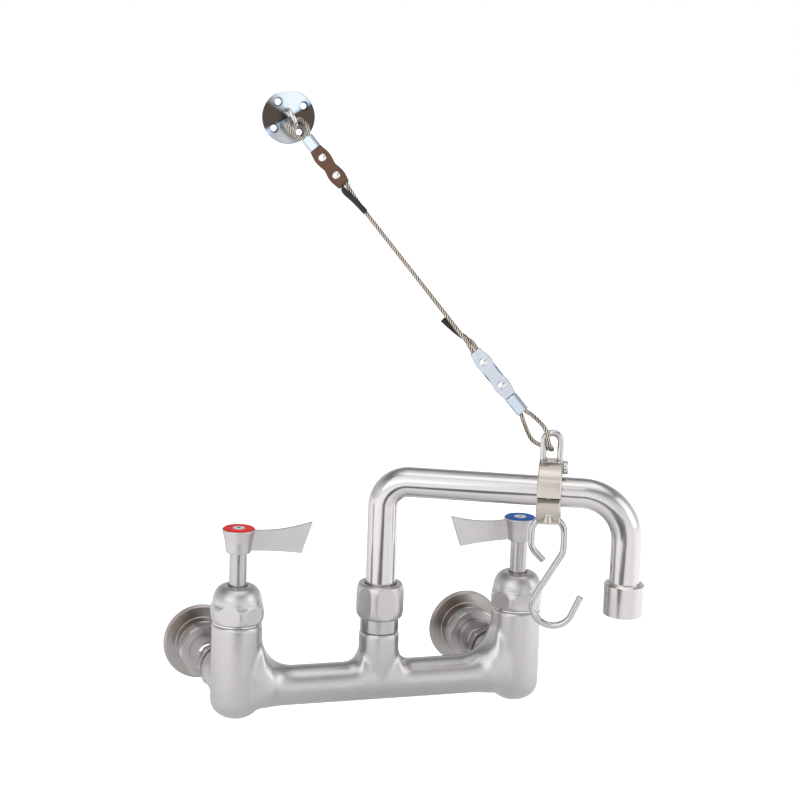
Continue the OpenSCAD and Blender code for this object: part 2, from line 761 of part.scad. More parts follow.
module collar_lower() {
    color("darkgray") on_arm() rotate([180, 0, 0]) difference() {
        intersection() {
            collar_ring();
            collar_half_space();
        }
        pockets(hook_hole_h);
        translate([-collar_w, 0, hook_hole_h]) rotate([0, 90, 0]) cylinder(r = hook_hole_r, h = 2 * collar_w);
        for (side = [-1, 1])
            translate([0, side * clamp_screw_out, 0]) {
                cylinder(r = clamp_screw_r + fit, h = collar_r);
                translate([0, 0, clamp_head_at]) cylinder(r = clamp_head_r + fit, h = collar_r);
            }
    }
}

module collar_screws() {
    color("silver") on_arm() for (side = [-1, 1])
        translate([0, side * clamp_screw_out, -clamp_head_at - clamp_head_h]) difference() {
            union() {
                cylinder(r = clamp_head_r, h = clamp_head_h);
                cylinder(r = clamp_screw_r, h = clamp_head_h + clamp_head_at + clamp_reach);
            }
            translate([0, 0, -over]) cylinder(r = pin_socket_r - 2 * fit, h = clamp_head_h / 2 + over, $fn = 6);
        }
}

module shackle() {
    color("whitesmoke") on_arm() {
        difference() {
            for (face = [-1, 1])
                translate([face * shackle_leg - eyelet_t / 2, 0, pin_h]) rotate([0, 90, 0])
                    cylinder(r = eyelet_r, h = eyelet_t);
            translate([-collar_w, 0, pin_h]) rotate([0, 90, 0]) cylinder(r = pin_r + fit, h = 2 * collar_w);
        }
        leg_foot = pin_h + eyelet_r - 2 * edge;
        translate([-shackle_leg, 0, leg_foot]) wire_run([
            [shackle_arch_h - leg_foot, shackle_leg, 180],
            [shackle_arch_h - leg_foot, 0, 0]], shackle_wire_r);
    }
}

module shackle_pin() {
    pin_end = shackle_leg + eyelet_t / 2;
    color("silver") on_arm() translate([0, 0, pin_h]) rotate([0, 90, 0]) difference() {
        union() {
            translate([0, 0, -pin_end - edge]) cylinder(r = pin_r, h = 2 * pin_end + 2 * edge);
            translate([0, 0, pin_end + fit]) turned(pin_head_r, pin_head_t, edge);
        }
        translate([0, 0, pin_end + fit + pin_head_t / 2]) cylinder(r = pin_socket_r, h = pin_head_t, $fn = 6);
    }
}

// Centre line of a rod bent in one plane, as [x, z, heading] at each ring
rod_sides = 16;
rod_bend_step = 12;
function rod_line(steps, at, heading, i = 0) = i == len(steps) ? [] : let (
    hand = sign(steps[i][2]),
    from = at + steps[i][0] * [sin(heading), cos(heading)],
    centre = from + hand * steps[i][1] * [cos(heading), -sin(heading)],
    n = ceil(abs(steps[i][2]) / rod_bend_step),
    bend = [for (k = [1 : 1 : n]) let (h = heading + steps[i][2] * k / n)
        concat(centre - hand * steps[i][1] * [cos(h), -sin(h)], h)],
    last = n > 0 ? bend[n - 1] : concat(from, heading))
    concat([concat(from, heading)], bend, rod_line(steps, [last[0], last[1]], last[2], i + 1));

// The hook hangs by its upper bend, and the first turn leads into it from the rod's cut end
module hook() {
    first = hook_steps[0];
    lead_x = first[0] * sin(hook_start_turn) - first[1] * (1 - cos(hook_start_turn));
    lead_z = first[0] * cos(hook_start_turn) - first[1] * sin(hook_start_turn);
    start = [-hook_eye_r - lead_x, -hook_seat - hook_eye_r - hook_steps[1][0] - lead_z];
    line = concat([concat(start, hook_start_turn)], rod_line(hook_steps, start, hook_start_turn));
    color("whitesmoke") on_arm() polyhedron(
        [for (p = line, j = [0 : rod_sides - 1]) let (a = 360 * j / rod_sides)
            [p[0] + hook_wire_r * cos(a) * cos(p[2]), hook_wire_r * sin(a), p[1] - hook_wire_r * cos(a) * sin(p[2])]],
        tube_faces(len(line), rod_sides));
}

// Wall plate and eye
module wall_plate() {
    color("lightsteelblue") translate([plate_x, 0, plate_z]) rotate([90, 0, 0]) difference() {
        turned_plate();
        for (k = [0 : 3])
            rotate([0, 0, plate_turn + 90 * k]) translate([plate_pcd / 2, 0, 0]) {
                translate([0, 0, -over]) cylinder(r = plate_hole_r, h = plate_t + 2 * over);
                translate([0, 0, plate_t - plate_sink]) cylinder(r1 = plate_hole_r, r2 = plate_sink_r, h = plate_sink + fit / 2);
            }
    }
}

module turned_plate() {
    rotate_extrude() polygon([[0, 0], [plate_r, 0], [plate_r, plate_t - edge], [plate_r - edge, plate_t], [0, plate_t]]);
}

module wall_eye() {
    color("whitesmoke") translate([plate_x, -plate_t, plate_z]) rotate([0, -eye_lean, 0]) rotate([90, 0, 0])
        rotate([0, 0, 90]) translate([-eye_half, 0, 0]) wire_run([
            [eye_straight, eye_half, 180],
            [eye_straight, 0, 0]], eye_wire_r);
}

// Wire rope, swept along its route
function catmull(a, b, c, d, s) = 0.5 * (2 * b + (c - a) * s + (2 * a - 5 * b + 4 * c - d) * s * s
    + (3 * b - a - 3 * c + d) * s * s * s);
rope_points = concat(upper_route, [for (p = lower_route) [p[0], p[1], cable_len - p[2]]]);
rope_last = len(rope_points) - 1;
rope_path = [for (i = [0 : rope_last - 1], s = [0, 0.5])
    if (s == 0 || norm(rope_points[i + 1] - rope_points[i]) < rope_span)
        on_cable_point(catmull(rope_points[max(0, i - 1)], rope_points[i], rope_points[i + 1],
            rope_points[min(rope_last, i + 2)], s)), on_cable_point(rope_points[rope_last])];
rope_count = len(rope_path);
rope_tangents = [for (i = [0 : rope_count - 1])
    unit(rope_path[min(rope_count - 1, i + 1)] - rope_path[max(0, i - 1)])];
rope_normals = [for (i = 0, n = unit(cross(rope_tangents[0], cable_side)); i < rope_count;
    i = i + 1, n = i < rope_count ? unit(n - (n * rope_tangents[i]) * rope_tangents[i]) : n) n];

module stay_rope() {
    color("tan") polyhedron([for (i = [0 : rope_count - 1], j = [0 : rope_sides - 1])
        let (a = 360 * j / rope_sides, b = cross(rope_tangents[i], rope_normals[i]))
            rope_path[i] + rope_r * (cos(a) * rope_normals[i] + sin(a) * b)],
        tube_faces(rope_count, rope_sides));
}

// A flattened tube round the two strands
module oval(half, r) {
    polygon(concat(arc(half, 0, r, -90, 90, 12), arc(-half, 0, r, 90, 270, 12)));
}

module ferrule(along, length) {
    color("lightgray") on_cable(along) linear_extrude(length) difference() {
        oval(strand_gap, rope_r + fit + ferrule_wall);
        oval(strand_gap, rope_r + fit);
    }
}

// Duplex rope clips: the edges swell round each screw, where the strands part
function clip_width(t, screws, base) = base + clip_bump
    * max([for (s = screws) abs(t - s) < clip_bump_run ? (1 + cos(180 * (t - s) / clip_bump_run)) / 2 : 0]);
module clip_outline(length, screws, base, from, to) {
    n = 28;
    polygon(concat(
        [for (i = [0 : n]) let (t = from + (to - from) * i / n) [clip_width(t, screws, base), t]],
        [for (i = [n : -1 : 0]) let (t = from + (to - from) * i / n) [-clip_width(t, screws, base), t]]));
}

module clip_plate(along, length, screws, face) {
    color("lightsteelblue") on_cable(along) rotate([0, 0, face > 0 ? 0 : 180]) difference() {
        rotate([90, 0, 0]) mirror([0, 0, 1]) translate([0, 0, clip_gap / 2]) difference() {
            linear_extrude(clip_t) clip_outline(length, screws, clip_half, 0, length);
            translate([0, 0, -over]) linear_extrude(rope_r + fit - clip_gap / 2 + over)
                clip_outline(length, screws, clip_half - clip_wall, -over, length + over);
        }
        for (s = screws)
            translate([0, 0, s]) rotate([-90, 0, 0]) cylinder(r = clip_screw_r + fit, h = clip_t + clip_gap);
    }
}

module clip_screws(along, screws) {
    reach = clip_t + clip_gap / 2;
    color("whitesmoke") on_cable(along) for (s = screws)
        translate([0, 0, s]) rotate([-90, 0, 0]) {
            translate([0, 0, -reach - clip_nut_t - edge]) cylinder(r = clip_screw_r, h = 2 * reach + clip_nut_t + clip_head_t + edge);
            translate([0, 0, reach]) turned(clip_head_r, clip_head_t + edge / 2, edge / 2);
            translate([0, 0, -reach - clip_nut_t]) cylinder(r = clip_nut_r, h = clip_nut_t, $fn = 6);
        }
}

// Sleeve over a stretch of the rope's tail
module tail_sleeve(from, to) {
    n = to - from + 1;
    side_points = [for (r = [rope_r + sleeve_wall, rope_r + fit], i = [from : to], j = [0 : rope_sides - 1])
        let (a = 360 * j / rope_sides, b = cross(rope_tangents[i], rope_normals[i]))
            rope_path[i] + r * (cos(a) * rope_normals[i] + sin(a) * b)];
    color("black") difference() {
        polyhedron([for (i = [0 : n * rope_sides - 1]) side_points[i]], tube_faces(n, rope_sides));
        polyhedron(concat(
            [for (j = [0 : rope_sides - 1]) side_points[n * rope_sides + j] - over * rope_tangents[from]],
            [for (i = [n * rope_sides : 2 * n * rope_sides - 1]) side_points[i]],
            [for (j = [0 : rope_sides - 1]) side_points[(2 * n - 1) * rope_sides + j] + over * rope_tangents[to]]),
            tube_faces(n + 2, rope_sides));
    }
}

body();
flange(-1);  // hot_flange
flange(1);  // cold_flange
union_nut(-1);  // hot_union_nut
union_nut(1);  // cold_union_nut
coupling(-1);  // hot_coupling
coupling(1);  // cold_coupling
inlet_washer(-1);  // hot_inlet_washer
inlet_washer(1);  // cold_inlet_washer
headwork(-1);  // hot_headwork
headwork(1);  // cold_headwork
fixed_disc(-1);  // hot_fixed_disc
fixed_disc(1);  // cold_fixed_disc
moving_disc(-1);  // hot_moving_disc
moving_disc(1);  // cold_moving_disc
spindle(-1);  // hot_spindle
spindle(1);  // cold_spindle
bonnet(-1);  // hot_bonnet
bonnet(1);  // cold_bonnet
lever(-1);  // hot_lever
lever(1);  // cold_lever
index_ring(-1, "red");  // hot_index_ring
index_ring(1, "royalblue");  // cold_index_ring
lever_screw(-1);  // hot_lever_screw
lever_screw(1);  // cold_lever_screw
neck_ring();
swivel_nut();
spout_spigot();
swivel_seals();
retaining_ring();
spout_tube();
nozzle();
flow_straightener();
collar_upper();
collar_lower();
collar_screws();
shackle();
shackle_pin();
hook();
wall_plate();
wall_eye();
stay_rope();
ferrule(upper_ferrule_at, upper_ferrule_len);  // upper_ferrule
ferrule(lower_ferrule_at, lower_ferrule_len);  // lower_ferrule
clip_plate(upper_clip_at, upper_clip_len, upper_clip_screws_at, 1);  // upper_clip_front
clip_plate(upper_clip_at, upper_clip_len, upper_clip_screws_at, -1);  // upper_clip_back
clip_screws(upper_clip_at, upper_clip_screws_at);  // upper_clip_screws
clip_plate(lower_clip_at, lower_clip_len, lower_clip_screws_at, 1);  // lower_clip_front
clip_plate(lower_clip_at, lower_clip_len, lower_clip_screws_at, -1);  // lower_clip_back
clip_screws(lower_clip_at, lower_clip_screws_at);  // lower_clip_screws
tail_sleeve(0, upper_sleeve_rings);  // upper_tail_sleeve
tail_sleeve(rope_count - 1 - lower_sleeve_rings, rope_count - 1);  // lower_tail_sleeve
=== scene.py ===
"""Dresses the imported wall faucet: steel finishes, the cast body, the stranded stay rope and the stage."""

import json
import math

import bmesh
import bpy
from mathutils import Matrix, Vector


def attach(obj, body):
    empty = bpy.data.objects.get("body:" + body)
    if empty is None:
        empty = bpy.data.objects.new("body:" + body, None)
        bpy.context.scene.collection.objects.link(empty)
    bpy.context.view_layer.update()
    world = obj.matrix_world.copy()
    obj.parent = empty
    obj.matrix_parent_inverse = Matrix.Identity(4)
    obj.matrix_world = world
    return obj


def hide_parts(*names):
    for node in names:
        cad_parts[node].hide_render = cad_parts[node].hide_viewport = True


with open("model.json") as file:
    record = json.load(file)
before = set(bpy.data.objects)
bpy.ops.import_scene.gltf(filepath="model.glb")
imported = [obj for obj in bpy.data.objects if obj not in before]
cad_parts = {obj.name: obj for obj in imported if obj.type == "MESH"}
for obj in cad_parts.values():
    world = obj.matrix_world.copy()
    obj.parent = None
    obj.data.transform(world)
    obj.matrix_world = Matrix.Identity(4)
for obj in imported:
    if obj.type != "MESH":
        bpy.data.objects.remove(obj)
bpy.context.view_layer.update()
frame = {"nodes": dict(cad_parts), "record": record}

bl_info = {
    "name": "Wall faucet dressing",
    "version": (1, 0, 0),
    "blender": (4, 5, 0),
    "location": "View3D > Sidebar > Faucet",
    "description": "Builds the finishes and the free forms of a wall faucet with a stay rope",
    "category": "Object",
}

MM = 0.001
BODY_OF = {n: body for body, names in frame["record"]["behaviour"]["bodies"].items() for n in names}
WHITE = (1, 1, 1, 1)

# Turn in degrees that lays a pattern's axis square to the wall
WALL_AXIS = (-90, 0, 0)

# Sizes of the faucet, in millimetres; EDGE is the cast edges' chamfer
INLET_HALF = 101.6
PILLAR_R = 17.5
PILLAR_TOP = 47.5
PILLAR_FOOT = -20.5
BAR_R = 13.75
BOSS_R = 14
BOSS_TOP = 36.2
TUBE_R = 10.4
ARM_LEN = 167
ARM_RISE = 143
COLLAR_BACK = 53
EDGE = 0.6
EYE_HALF = 6.1
EYE_WIRE_R = 1.6
EYE_GAP = 0.3
ROPE_R = 1.6

# Places on the faucet, in millimetres in the row frame
BODY_AT = Vector((8, -86, -6.5))
SPOUT_TURN = math.radians(24.5)
ARM = Vector((math.cos(SPOUT_TURN), -math.sin(SPOUT_TURN), 0))
UP = Vector((0, 0, 1))
COLLAR_AT = BODY_AT + (ARM_LEN - COLLAR_BACK) * ARM + ARM_RISE * UP
PLATE_AT = Vector((-45.5, 0, 381.1))

# The rope's line between the wall eye and the shackle
EYE_SEAT = EYE_HALF - EYE_WIRE_R - EYE_GAP - ROPE_R
EYE_LEAN = math.radians(28)
EYE_PULL = math.radians(69)
EYE_REACH = Vector((0, -10.3, 0))
EYE_DOWN = Vector((math.sin(EYE_LEAN), 0, -math.cos(EYE_LEAN)))
EYE_AT = PLATE_AT + EYE_REACH + EYE_SEAT * (
    EYE_DOWN * math.sin(EYE_PULL) - Vector((0, math.cos(EYE_PULL), 0)))
BOW_RISE = 29.2
BOW_AT = COLLAR_AT + BOW_RISE * UP
ROPE_LEN = (BOW_AT - EYE_AT).length
ROPE_DIR = (BOW_AT - EYE_AT).normalized()
VIEW_SHARE = Vector((-0.4, -0.9, 0.2))
ROPE_OUT = (VIEW_SHARE - VIEW_SHARE.dot(ROPE_DIR) * ROPE_DIR).normalized()
ROPE_SIDE = ROPE_OUT.cross(ROPE_DIR)
UPPER_ROUTE = [
    (0.2, 4.2, 84), (-0.8, 3.9, 73), (-2.3, 2, 64), (-1.9, 0, 58), (-3.15, 0, 50.5),
    (-1.9, 0, 42.5), (-3.15, 0, 34.5), (-1.95, 0, 26), (-1.95, 0, 16), (-5.6, 0.1, 9),
    (-4.4, 4.2, 0.8), (0, 0, 0), (4.5, -4.7, 1.7), (5.2, 0, 9.3), (1.95, 0, 16),
    (1.95, 0, 26), (3.15, 0, 34.5), (1.9, 0, 42.5), (3.15, 0, 50.5),
    (1.7, 0, 60), (0.8, 0, 68), (0, 0, 78), (0, 0, 88),
]
LOWER_ROUTE = [
    (-0.3, 0, 103), (-0.7, 0, 91), (-3.15, 0, 75), (-1.9, 0, 65), (-3.15, 0, 55),
    (-1.95, 0, 45), (-1.95, 0, 32), (-3.5, 0, 27), (-7, -9.4, 14), (-2.9, -7.5, 4),
    (0, 0, 0), (0.8, 5.4, 4), (5, 7.3, 14), (3.5, 0, 27), (1.95, 0, 32), (1.95, 0, 45),
    (3.15, 0, 55), (1.9, 0, 65), (3.15, 0, 75), (1.9, 0, 84), (2.1, -2, 91.5),
    (-1.4, -3.9, 102), (-4, -1.2, 116),
]

# Each clip's place along the rope, and its two screws from there
UPPER_CLIP = (26.5, (8, 24))
LOWER_CLIP = (ROPE_LEN - 84.5, (9.5, 29.5))


def on_rope(side, out, along):
    """A point given across, out of and along the rope's line, in millimetres."""
    return EYE_AT + side * ROPE_SIDE + out * ROPE_OUT + along * ROPE_DIR


def rope_line(step=0.25):
    """The rope's centre line in metres, smooth through the route's points."""
    route = [Vector(p) for p in UPPER_ROUTE] + [Vector((p[0], p[1], ROPE_LEN - p[2])) for p in LOWER_ROUTE]
    last = len(route) - 1
    line = []
    for i in range(last):
        a, b, c, d = route[max(0, i - 1)], route[i], route[i + 1], route[min(last, i + 2)]
        long_run = (c - b).length > 20
        for k in range(1 if long_run else round(1 / step)):
            s = k * step
            line.append(0.5 * (2 * b + (c - a) * s + (2 * a - 5 * b + 4 * c - d) * s * s
                               + (3 * b - a - 3 * c + d) * s ** 3))
    line.append(route[last])
    return [MM * on_rope(*p) for p in line]


# Meshes

def linked(name, data):
    """A new object in the scene."""
    made = bpy.data.objects.new(name, data)
    bpy.context.scene.collection.objects.link(made)
    return made


def keep_piece(name, mesh, material, nodes):
    """Links a finished mesh, gives it its finish and body, and hides the nodes that it stands for."""
    piece = linked(name, mesh)
    mesh.materials.clear()
    mesh.materials.append(material)
    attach(piece, BODY_OF[nodes[0]])
    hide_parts(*nodes)
    return piece


def finish_nodes(material, *names):
    """Gives CAD nodes their finish and leaves their meshes alone."""
    for name in names:
        for socket in frame["nodes"][name].material_slots:
            socket.material = material


def shade(mesh, angle):
    """Smooth faces with sharp edges past the angle, in degrees."""
    if "custom_normal" in mesh.attributes:
        mesh.attributes.remove(mesh.attributes["custom_normal"])
    mesh.shade_smooth()
    mesh.set_sharp_from_angle(angle=math.radians(angle))
    return mesh


def mesh_from(bm, name, angle=35):
    """The built mesh with its faces outwards, shaded if an angle is given."""
    bmesh.ops.recalc_face_normals(bm, faces=bm.faces)
    mesh = bpy.data.meshes.new(name)
    bm.to_mesh(mesh)
    bm.free()
    return shade(mesh, angle) if angle else mesh


def plain_mesh(work, name):
    """The mesh of a work object after its modifiers; the object is removed."""
    bpy.context.view_layer.update()
    mesh = bpy.data.meshes.new_from_object(work.evaluated_get(bpy.context.evaluated_depsgraph_get()))
    mesh.name = name
    work.modifiers.clear()
    bpy.data.objects.remove(work)
    return mesh


def baked(piece_mesh, name, modifiers, angle=35):
    """The mesh after the modifiers, as a plain mesh."""
    work = linked(name + "_work", piece_mesh)
    for kind, settings in modifiers:
        modifier = work.modifiers.new(kind.lower(), kind)
        for key, value in settings.items():
            setattr(modifier, key, value)
    mesh = plain_mesh(work, name)
    return shade(mesh, angle) if angle else mesh


def broken_edges(node_name, width, segments=2, angle=40, merge=0.004):
    """A merged copy of a CAD node's mesh with its sharp edges rounded, width in millimetres."""
    bm = bmesh.new()
    bm.from_mesh(frame["nodes"][node_name].data)
    bmesh.ops.remove_doubles(bm, verts=bm.verts, dist=merge * MM)
    bmesh.ops.dissolve_limit(bm, angle_limit=math.radians(0.6), verts=bm.verts, edges=bm.edges)
    mesh = bpy.data.meshes.new(node_name + "_broken")
    bm.to_mesh(mesh)
    bm.free()
    shade(mesh, angle)
    return baked(mesh, node_name + "_broken", [("BEVEL", {
        "width": width * MM, "segments": segments, "limit_method": "ANGLE",
        "angle_limit": math.radians(angle), "use_clamp_overlap": True}),
        ("WEIGHTED_NORMAL", {"keep_sharp": True, "weight": 100})], angle=None)


def frames_along(line):
    """Tangent and two cross directions at each point of a line, carried without twist."""
    out, normal = [], None
    for i, p in enumerate(line):
        tangent = (line[min(i + 1, len(line) - 1)] - line[max(i - 1, 0)]).normalized()
        if normal is None:
            normal = tangent.cross(Vector((0.3, 0.9, 0.2))).normalized()
        normal = (normal - normal.dot(tangent) * tangent).normalized()
        out.append((p, tangent, normal, tangent.cross(normal)))
    return out


def swept_tube(name, line, radii, sides, angle):
    """A round rod along a line in metres, closed at its ends, with a UV map in turns and metres."""
    bm = bmesh.new()
    uv = bm.loops.layers.uv.verify()
    rows, lengths, run = [], [], 0.0
    for i, (p, _, n, b) in enumerate(frames_along(line)):
        run += (p - line[i - 1]).length if i else 0.0
        lengths.append(run)
        rows.append([bm.verts.new(p + radii[i] * (math.cos(a) * n + math.sin(a) * b))
                     for a in (2 * math.pi * j / sides for j in range(sides))])
    for i in range(len(rows) - 1):
        for j in range(sides):
            k = (j + 1) % sides
            face = bm.faces.new((rows[i][j], rows[i][k], rows[i + 1][k], rows[i + 1][j]))
            for loop, (u, v) in zip(face.loops, ((j, i), (j + 1, i), (j + 1, i + 1), (j, i + 1))):
                loop[uv].uv = (u / sides, lengths[v])
    bm.faces.new(list(reversed(rows[0])))
    bm.faces.new(rows[-1])
    return mesh_from(bm, name, angle)


def cut_ends(line, radius, chamfer=0.35):
    """The line and radii of a rod whose cut ends have a small chamfer, in metres."""
    start, end = (line[0] - line[1]).normalized(), (line[-1] - line[-2]).normalized()
    new = [line[0], line[0] - start * chamfer * MM] + line[1:-1] + [line[-1] - end * chamfer * MM, line[-1]]
    radii = [radius] * len(new)
    radii[0] = radii[-1] = radius - chamfer * MM
    return new, radii


def bent_line(steps, start, heading, to_row, step_deg=5):
    """Centre line of a rod bent in one plane, from steps of straight length, bend radius and bend angle."""
    x, z = start
    points = [(x, z)]
    for straight, bend_r, angle in steps:
        x, z = x + straight * math.sin(heading), z + straight * math.cos(heading)
        points.append((x, z))
        if angle:
            hand = math.copysign(1, angle)
            cx, cz = x + hand * bend_r * math.cos(heading), z - hand * bend_r * math.sin(heading)
            n = max(1, math.ceil(abs(angle) / step_deg))
            for k in range(1, n + 1):
                h = heading + math.radians(angle) * k / n
                points.append((cx - hand * bend_r * math.cos(h), cz + hand * bend_r * math.sin(h)))
            x, z = points[-1]
            heading += math.radians(angle)
    clean = [points[0]]
    for p in points[1:]:
        if math.dist(p, clean[-1]) > 0.02:
            clean.append(p)
    return [MM * to_row(px, pz) for px, pz in clean]


def ring_point(place, r, a, z):
    """A point at radius r, angle a and height z, set by a matrix and given in metres."""
    return MM * (place @ Vector((r * math.cos(a), r * math.sin(a), z)))


def skinned(bm, rows):
    """Faces between each ring and the next; a ring may be one point."""
    for low, high in zip(rows, rows[1:]):
        sides = max(len(low), len(high))
        for j in range(sides):
            k = (j + 1) % sides
            loop = [low[j % len(low)], low[k % len(low)], high[k % len(high)], high[j % len(high)]]
            bm.faces.new(list(dict.fromkeys(loop)))


def revolved(bm, profile, place, segments=96):
    """A closed solid of revolution from [radius, height] pairs in millimetres, set by a matrix."""
    rows = []
    for r, z in profile:
        if r < 1e-6:
            rows.append([bm.verts.new(ring_point(place, 0, 0, z))])
        else:
            rows.append([bm.verts.new(ring_point(place, r, 2 * math.pi * j / segments, z))
                         for j in range(segments)])
    skinned(bm, rows)


def milled_barrel(name, profile, apothem, turn, place, bore, segments=180):
    """A turned barrel with six flats and a stepped bore, as [radius, height] pairs in millimetres."""
    def reach(r, a):
        off = (math.degrees(a) - turn + 30) % 60 - 30
        return min(r, apothem / math.cos(math.radians(off)))
    bm = bmesh.new()
    angles = [2 * math.pi * j / segments for j in range(segments)]
    rows = [[bm.verts.new(ring_point(place, reach(r, a), a, z)) for a in angles] for r, z in profile]
    rows += [[bm.verts.new(ring_point(place, r, a, z)) for a in angles] for r, z in bore]
    skinned(bm, rows + rows[:1])
    return mesh_from(bm, name, 60)


def barrel_profile(waist, end, height, power, steps=24):
    """Radii of a barrel that narrows towards both ends, as [radius, height] pairs."""
    half = height / 2
    return [(waist - (waist - end) * abs((height * i / steps - half) / half) ** power, height * i / steps)
            for i in range(steps + 1)]


# Node trees

def node(tree, kind, inputs=None, **settings):
    """A new node with its settings, its values and its links."""
    made = tree.nodes.new(kind)
    for key, value in settings.items():
        setattr(made, key, value)
    for key, value in (inputs or {}).items():
        if isinstance(value, bpy.types.Node):
            value = value.outputs[0]
        if isinstance(value, bpy.types.NodeSocket):
            tree.links.new(value, made.inputs[key])
        else:
            made.inputs[key].default_value = value
    return made


def link(tree, made, to, name):
    """Links a node's first output, or a socket, to one input of another node."""
    tree.links.new(made.outputs[0] if isinstance(made, bpy.types.Node) else made, to.inputs[name])


def maths(tree, operation, a, b=0.0, c=0.0):
    """One step of arithmetic."""
    return node(tree, "ShaderNodeMath", {0: a, 1: b, 2: c}, operation=operation)


def mixed(tree, factor, a, b, blend="MIX"):
    """Two colours mixed by a factor."""
    return node(tree, "ShaderNodeMix", {0: factor, 6: a, 7: b}, data_type="RGBA", blend_type=blend).outputs[2]


def times(tree, a, b):
    """Two colours multiplied."""
    return mixed(tree, 1.0, a, b, "MULTIPLY")


def noise(tree, place, scale, detail, roughness=0.5):
    """A noise texture at a place."""
    return node(tree, "ShaderNodeTexNoise", {"Vector": place, "Scale": scale, "Detail": detail,
                "Roughness": roughness})


def from_axis(tree, parts):
    """Distance from the local Z axis."""
    squares = [maths(tree, "MULTIPLY", parts.outputs[i], parts.outputs[i]) for i in (0, 1)]
    return maths(tree, "SQRT", maths(tree, "ADD", *squares))


def heading_share(tree, parts):
    """Direction on the floor as a share of a turn, 0.5 straight towards the front."""
    side = maths(tree, "ARCTAN2", parts.outputs[0], maths(tree, "MULTIPLY", parts.outputs[1], -1.0))
    return maths(tree, "MULTIPLY_ADD", side, 0.5 / math.pi, 0.5)


def toned(color, share):
    """A colour made lighter or darker."""
    return tuple(share * v for v in color)


def ramp(tree, factor, stops):
    """A colour ramp of grey or colour stops."""
    made = node(tree, "ShaderNodeValToRGB", {0: factor})
    elements = made.color_ramp.elements
    while len(elements) < len(stops):
        elements.new(0.5)
    for element, (place, value) in zip(elements, stops):
        element.position = place
        element.color = (value, value, value, 1) if isinstance(value, (int, float)) else (*value, 1)
    return made


def in_place(tree, centre=(0, 0, 0), turn=(0, 0, 0)):
    """Object coordinates about a centre in millimetres, turned by degrees, in millimetres."""
    coordinates = node(tree, "ShaderNodeTexCoord")
    moved = node(tree, "ShaderNodeMapping", {"Vector": coordinates.outputs["Object"],
                 "Location": [-v * MM for v in centre]})
    return node(tree, "ShaderNodeMapping", {"Vector": moved, "Rotation": [math.radians(v) for v in turn],
                "Scale": (1 / MM, 1 / MM, 1 / MM)})


def brushed_along(centre, fine, stretch, turn=(0, 0, 0)):
    """Brush marks along the local X axis."""
    def marks(tree):
        return node(tree, "ShaderNodeMapping", {"Vector": in_place(tree, centre, turn),
                    "Scale": (stretch, fine, fine)})
    return marks


def brushed_round(centre, fine, turn=(0, 0, 0)):
    """Turning marks round the local Z axis: the pattern depends on radius and height alone."""
    def marks(tree):
        parts = node(tree, "ShaderNodeSeparateXYZ", {0: in_place(tree, centre, turn)})
        return node(tree, "ShaderNodeCombineXYZ", {0: maths(tree, "MULTIPLY", from_axis(tree, parts), fine),
                    1: maths(tree, "MULTIPLY", parts.outputs[2], fine), 2: 0.0})
    return marks


def brushed_tube(tree, fine=420.0, stretch=60.0):
    """Brush marks along a swept tube, from its UV map."""
    coordinates = node(tree, "ShaderNodeTexCoord")
    return node(tree, "ShaderNodeMapping", {"Vector": coordinates.outputs["UV"], "Scale": (fine, stretch, 1)})


def tinted(tree, tone, color, dark_share, light_share):
    """Sets the base colour between a darker and a lighter tone."""
    light = tuple(min(1.0, v) for v in toned(color, light_share))
    tones = ramp(tree, tone, [(0.3, toned(color, dark_share)), (0.7, light)])
    link(tree, tones, tree.nodes["Principled BSDF"], "Base Color")


def bumped(tree, height, depth):
    """Raises the surface by a pattern, depth in millimetres."""
    bump = node(tree, "ShaderNodeBump", {"Height": height, "Strength": 1.0, "Distance": depth * MM})
    link(tree, bump, tree.nodes["Principled BSDF"], "Normal")


def shaded(tree, tint):
    """Multiplies the base colour by a tint; here the tint is painted shade or painted reflections."""
    base = tree.nodes["Principled BSDF"].inputs["Base Color"]
    tree.links.new(times(tree, base.links[0].from_socket, tint), base)


def new_material(name):
    """A new material, its tree and its shader."""
    made = bpy.data.materials.new(name)
    made.use_nodes = True
    return made, made.node_tree, made.node_tree.nodes["Principled BSDF"]


def metal(name, color, roughness, marks=None, mark_depth=0.012, mark_share=0.16, cloud=0.1, tint=0.1,
          anisotropy=0.0):
    """A metal whose brush marks, clouding and small tone changes come from noise."""
    made, tree, shader = new_material(name)
    shader.inputs["Metallic"].default_value = 1.0
    shader.inputs["Anisotropic"].default_value = anisotropy
    clouds = noise(tree, in_place(tree), 0.09, 3.0, 0.55)
    if marks is None:
        streaks = noise(tree, in_place(tree), 0.6, 2.0)
    else:
        streaks = noise(tree, marks(tree), 1.0, 3.0, 0.6)
    streaked = maths(tree, "MULTIPLY_ADD", streaks.outputs[0], mark_share, roughness - mark_share / 2)
    clouded = maths(tree, "MULTIPLY_ADD", clouds.outputs[0], cloud, -cloud / 2)
    link(tree, maths(tree, "ADD", streaked, clouded), shader, "Roughness")
    tone = maths(tree, "ADD", maths(tree, "MULTIPLY", streaks.outputs[0], 0.6),
                 maths(tree, "MULTIPLY", clouds.outputs[0], 0.4))
    tinted(tree, tone, color, 1 - tint, 1 + tint)
    bumped(tree, streaks.outputs[0], mark_depth)
    return made


def painted_reflection_sectors(material, centre, stops):
    """Paints reflections into a turned face's colour by its angle about a centre, in degrees anticlockwise
    from the right.
    """
    tree = material.node_tree
    place = node(tree, "ShaderNodeSeparateXYZ", {0: in_place(tree, centre)})
    angle = maths(tree, "ARCTAN2", place.outputs[2], place.outputs[0])
    share = maths(tree, "MULTIPLY_ADD", angle, 0.5 / math.pi, 0.5)
    shaded(tree, ramp(tree, share, [(a / 360 + 0.5, color) for a, color in stops]).outputs[0])


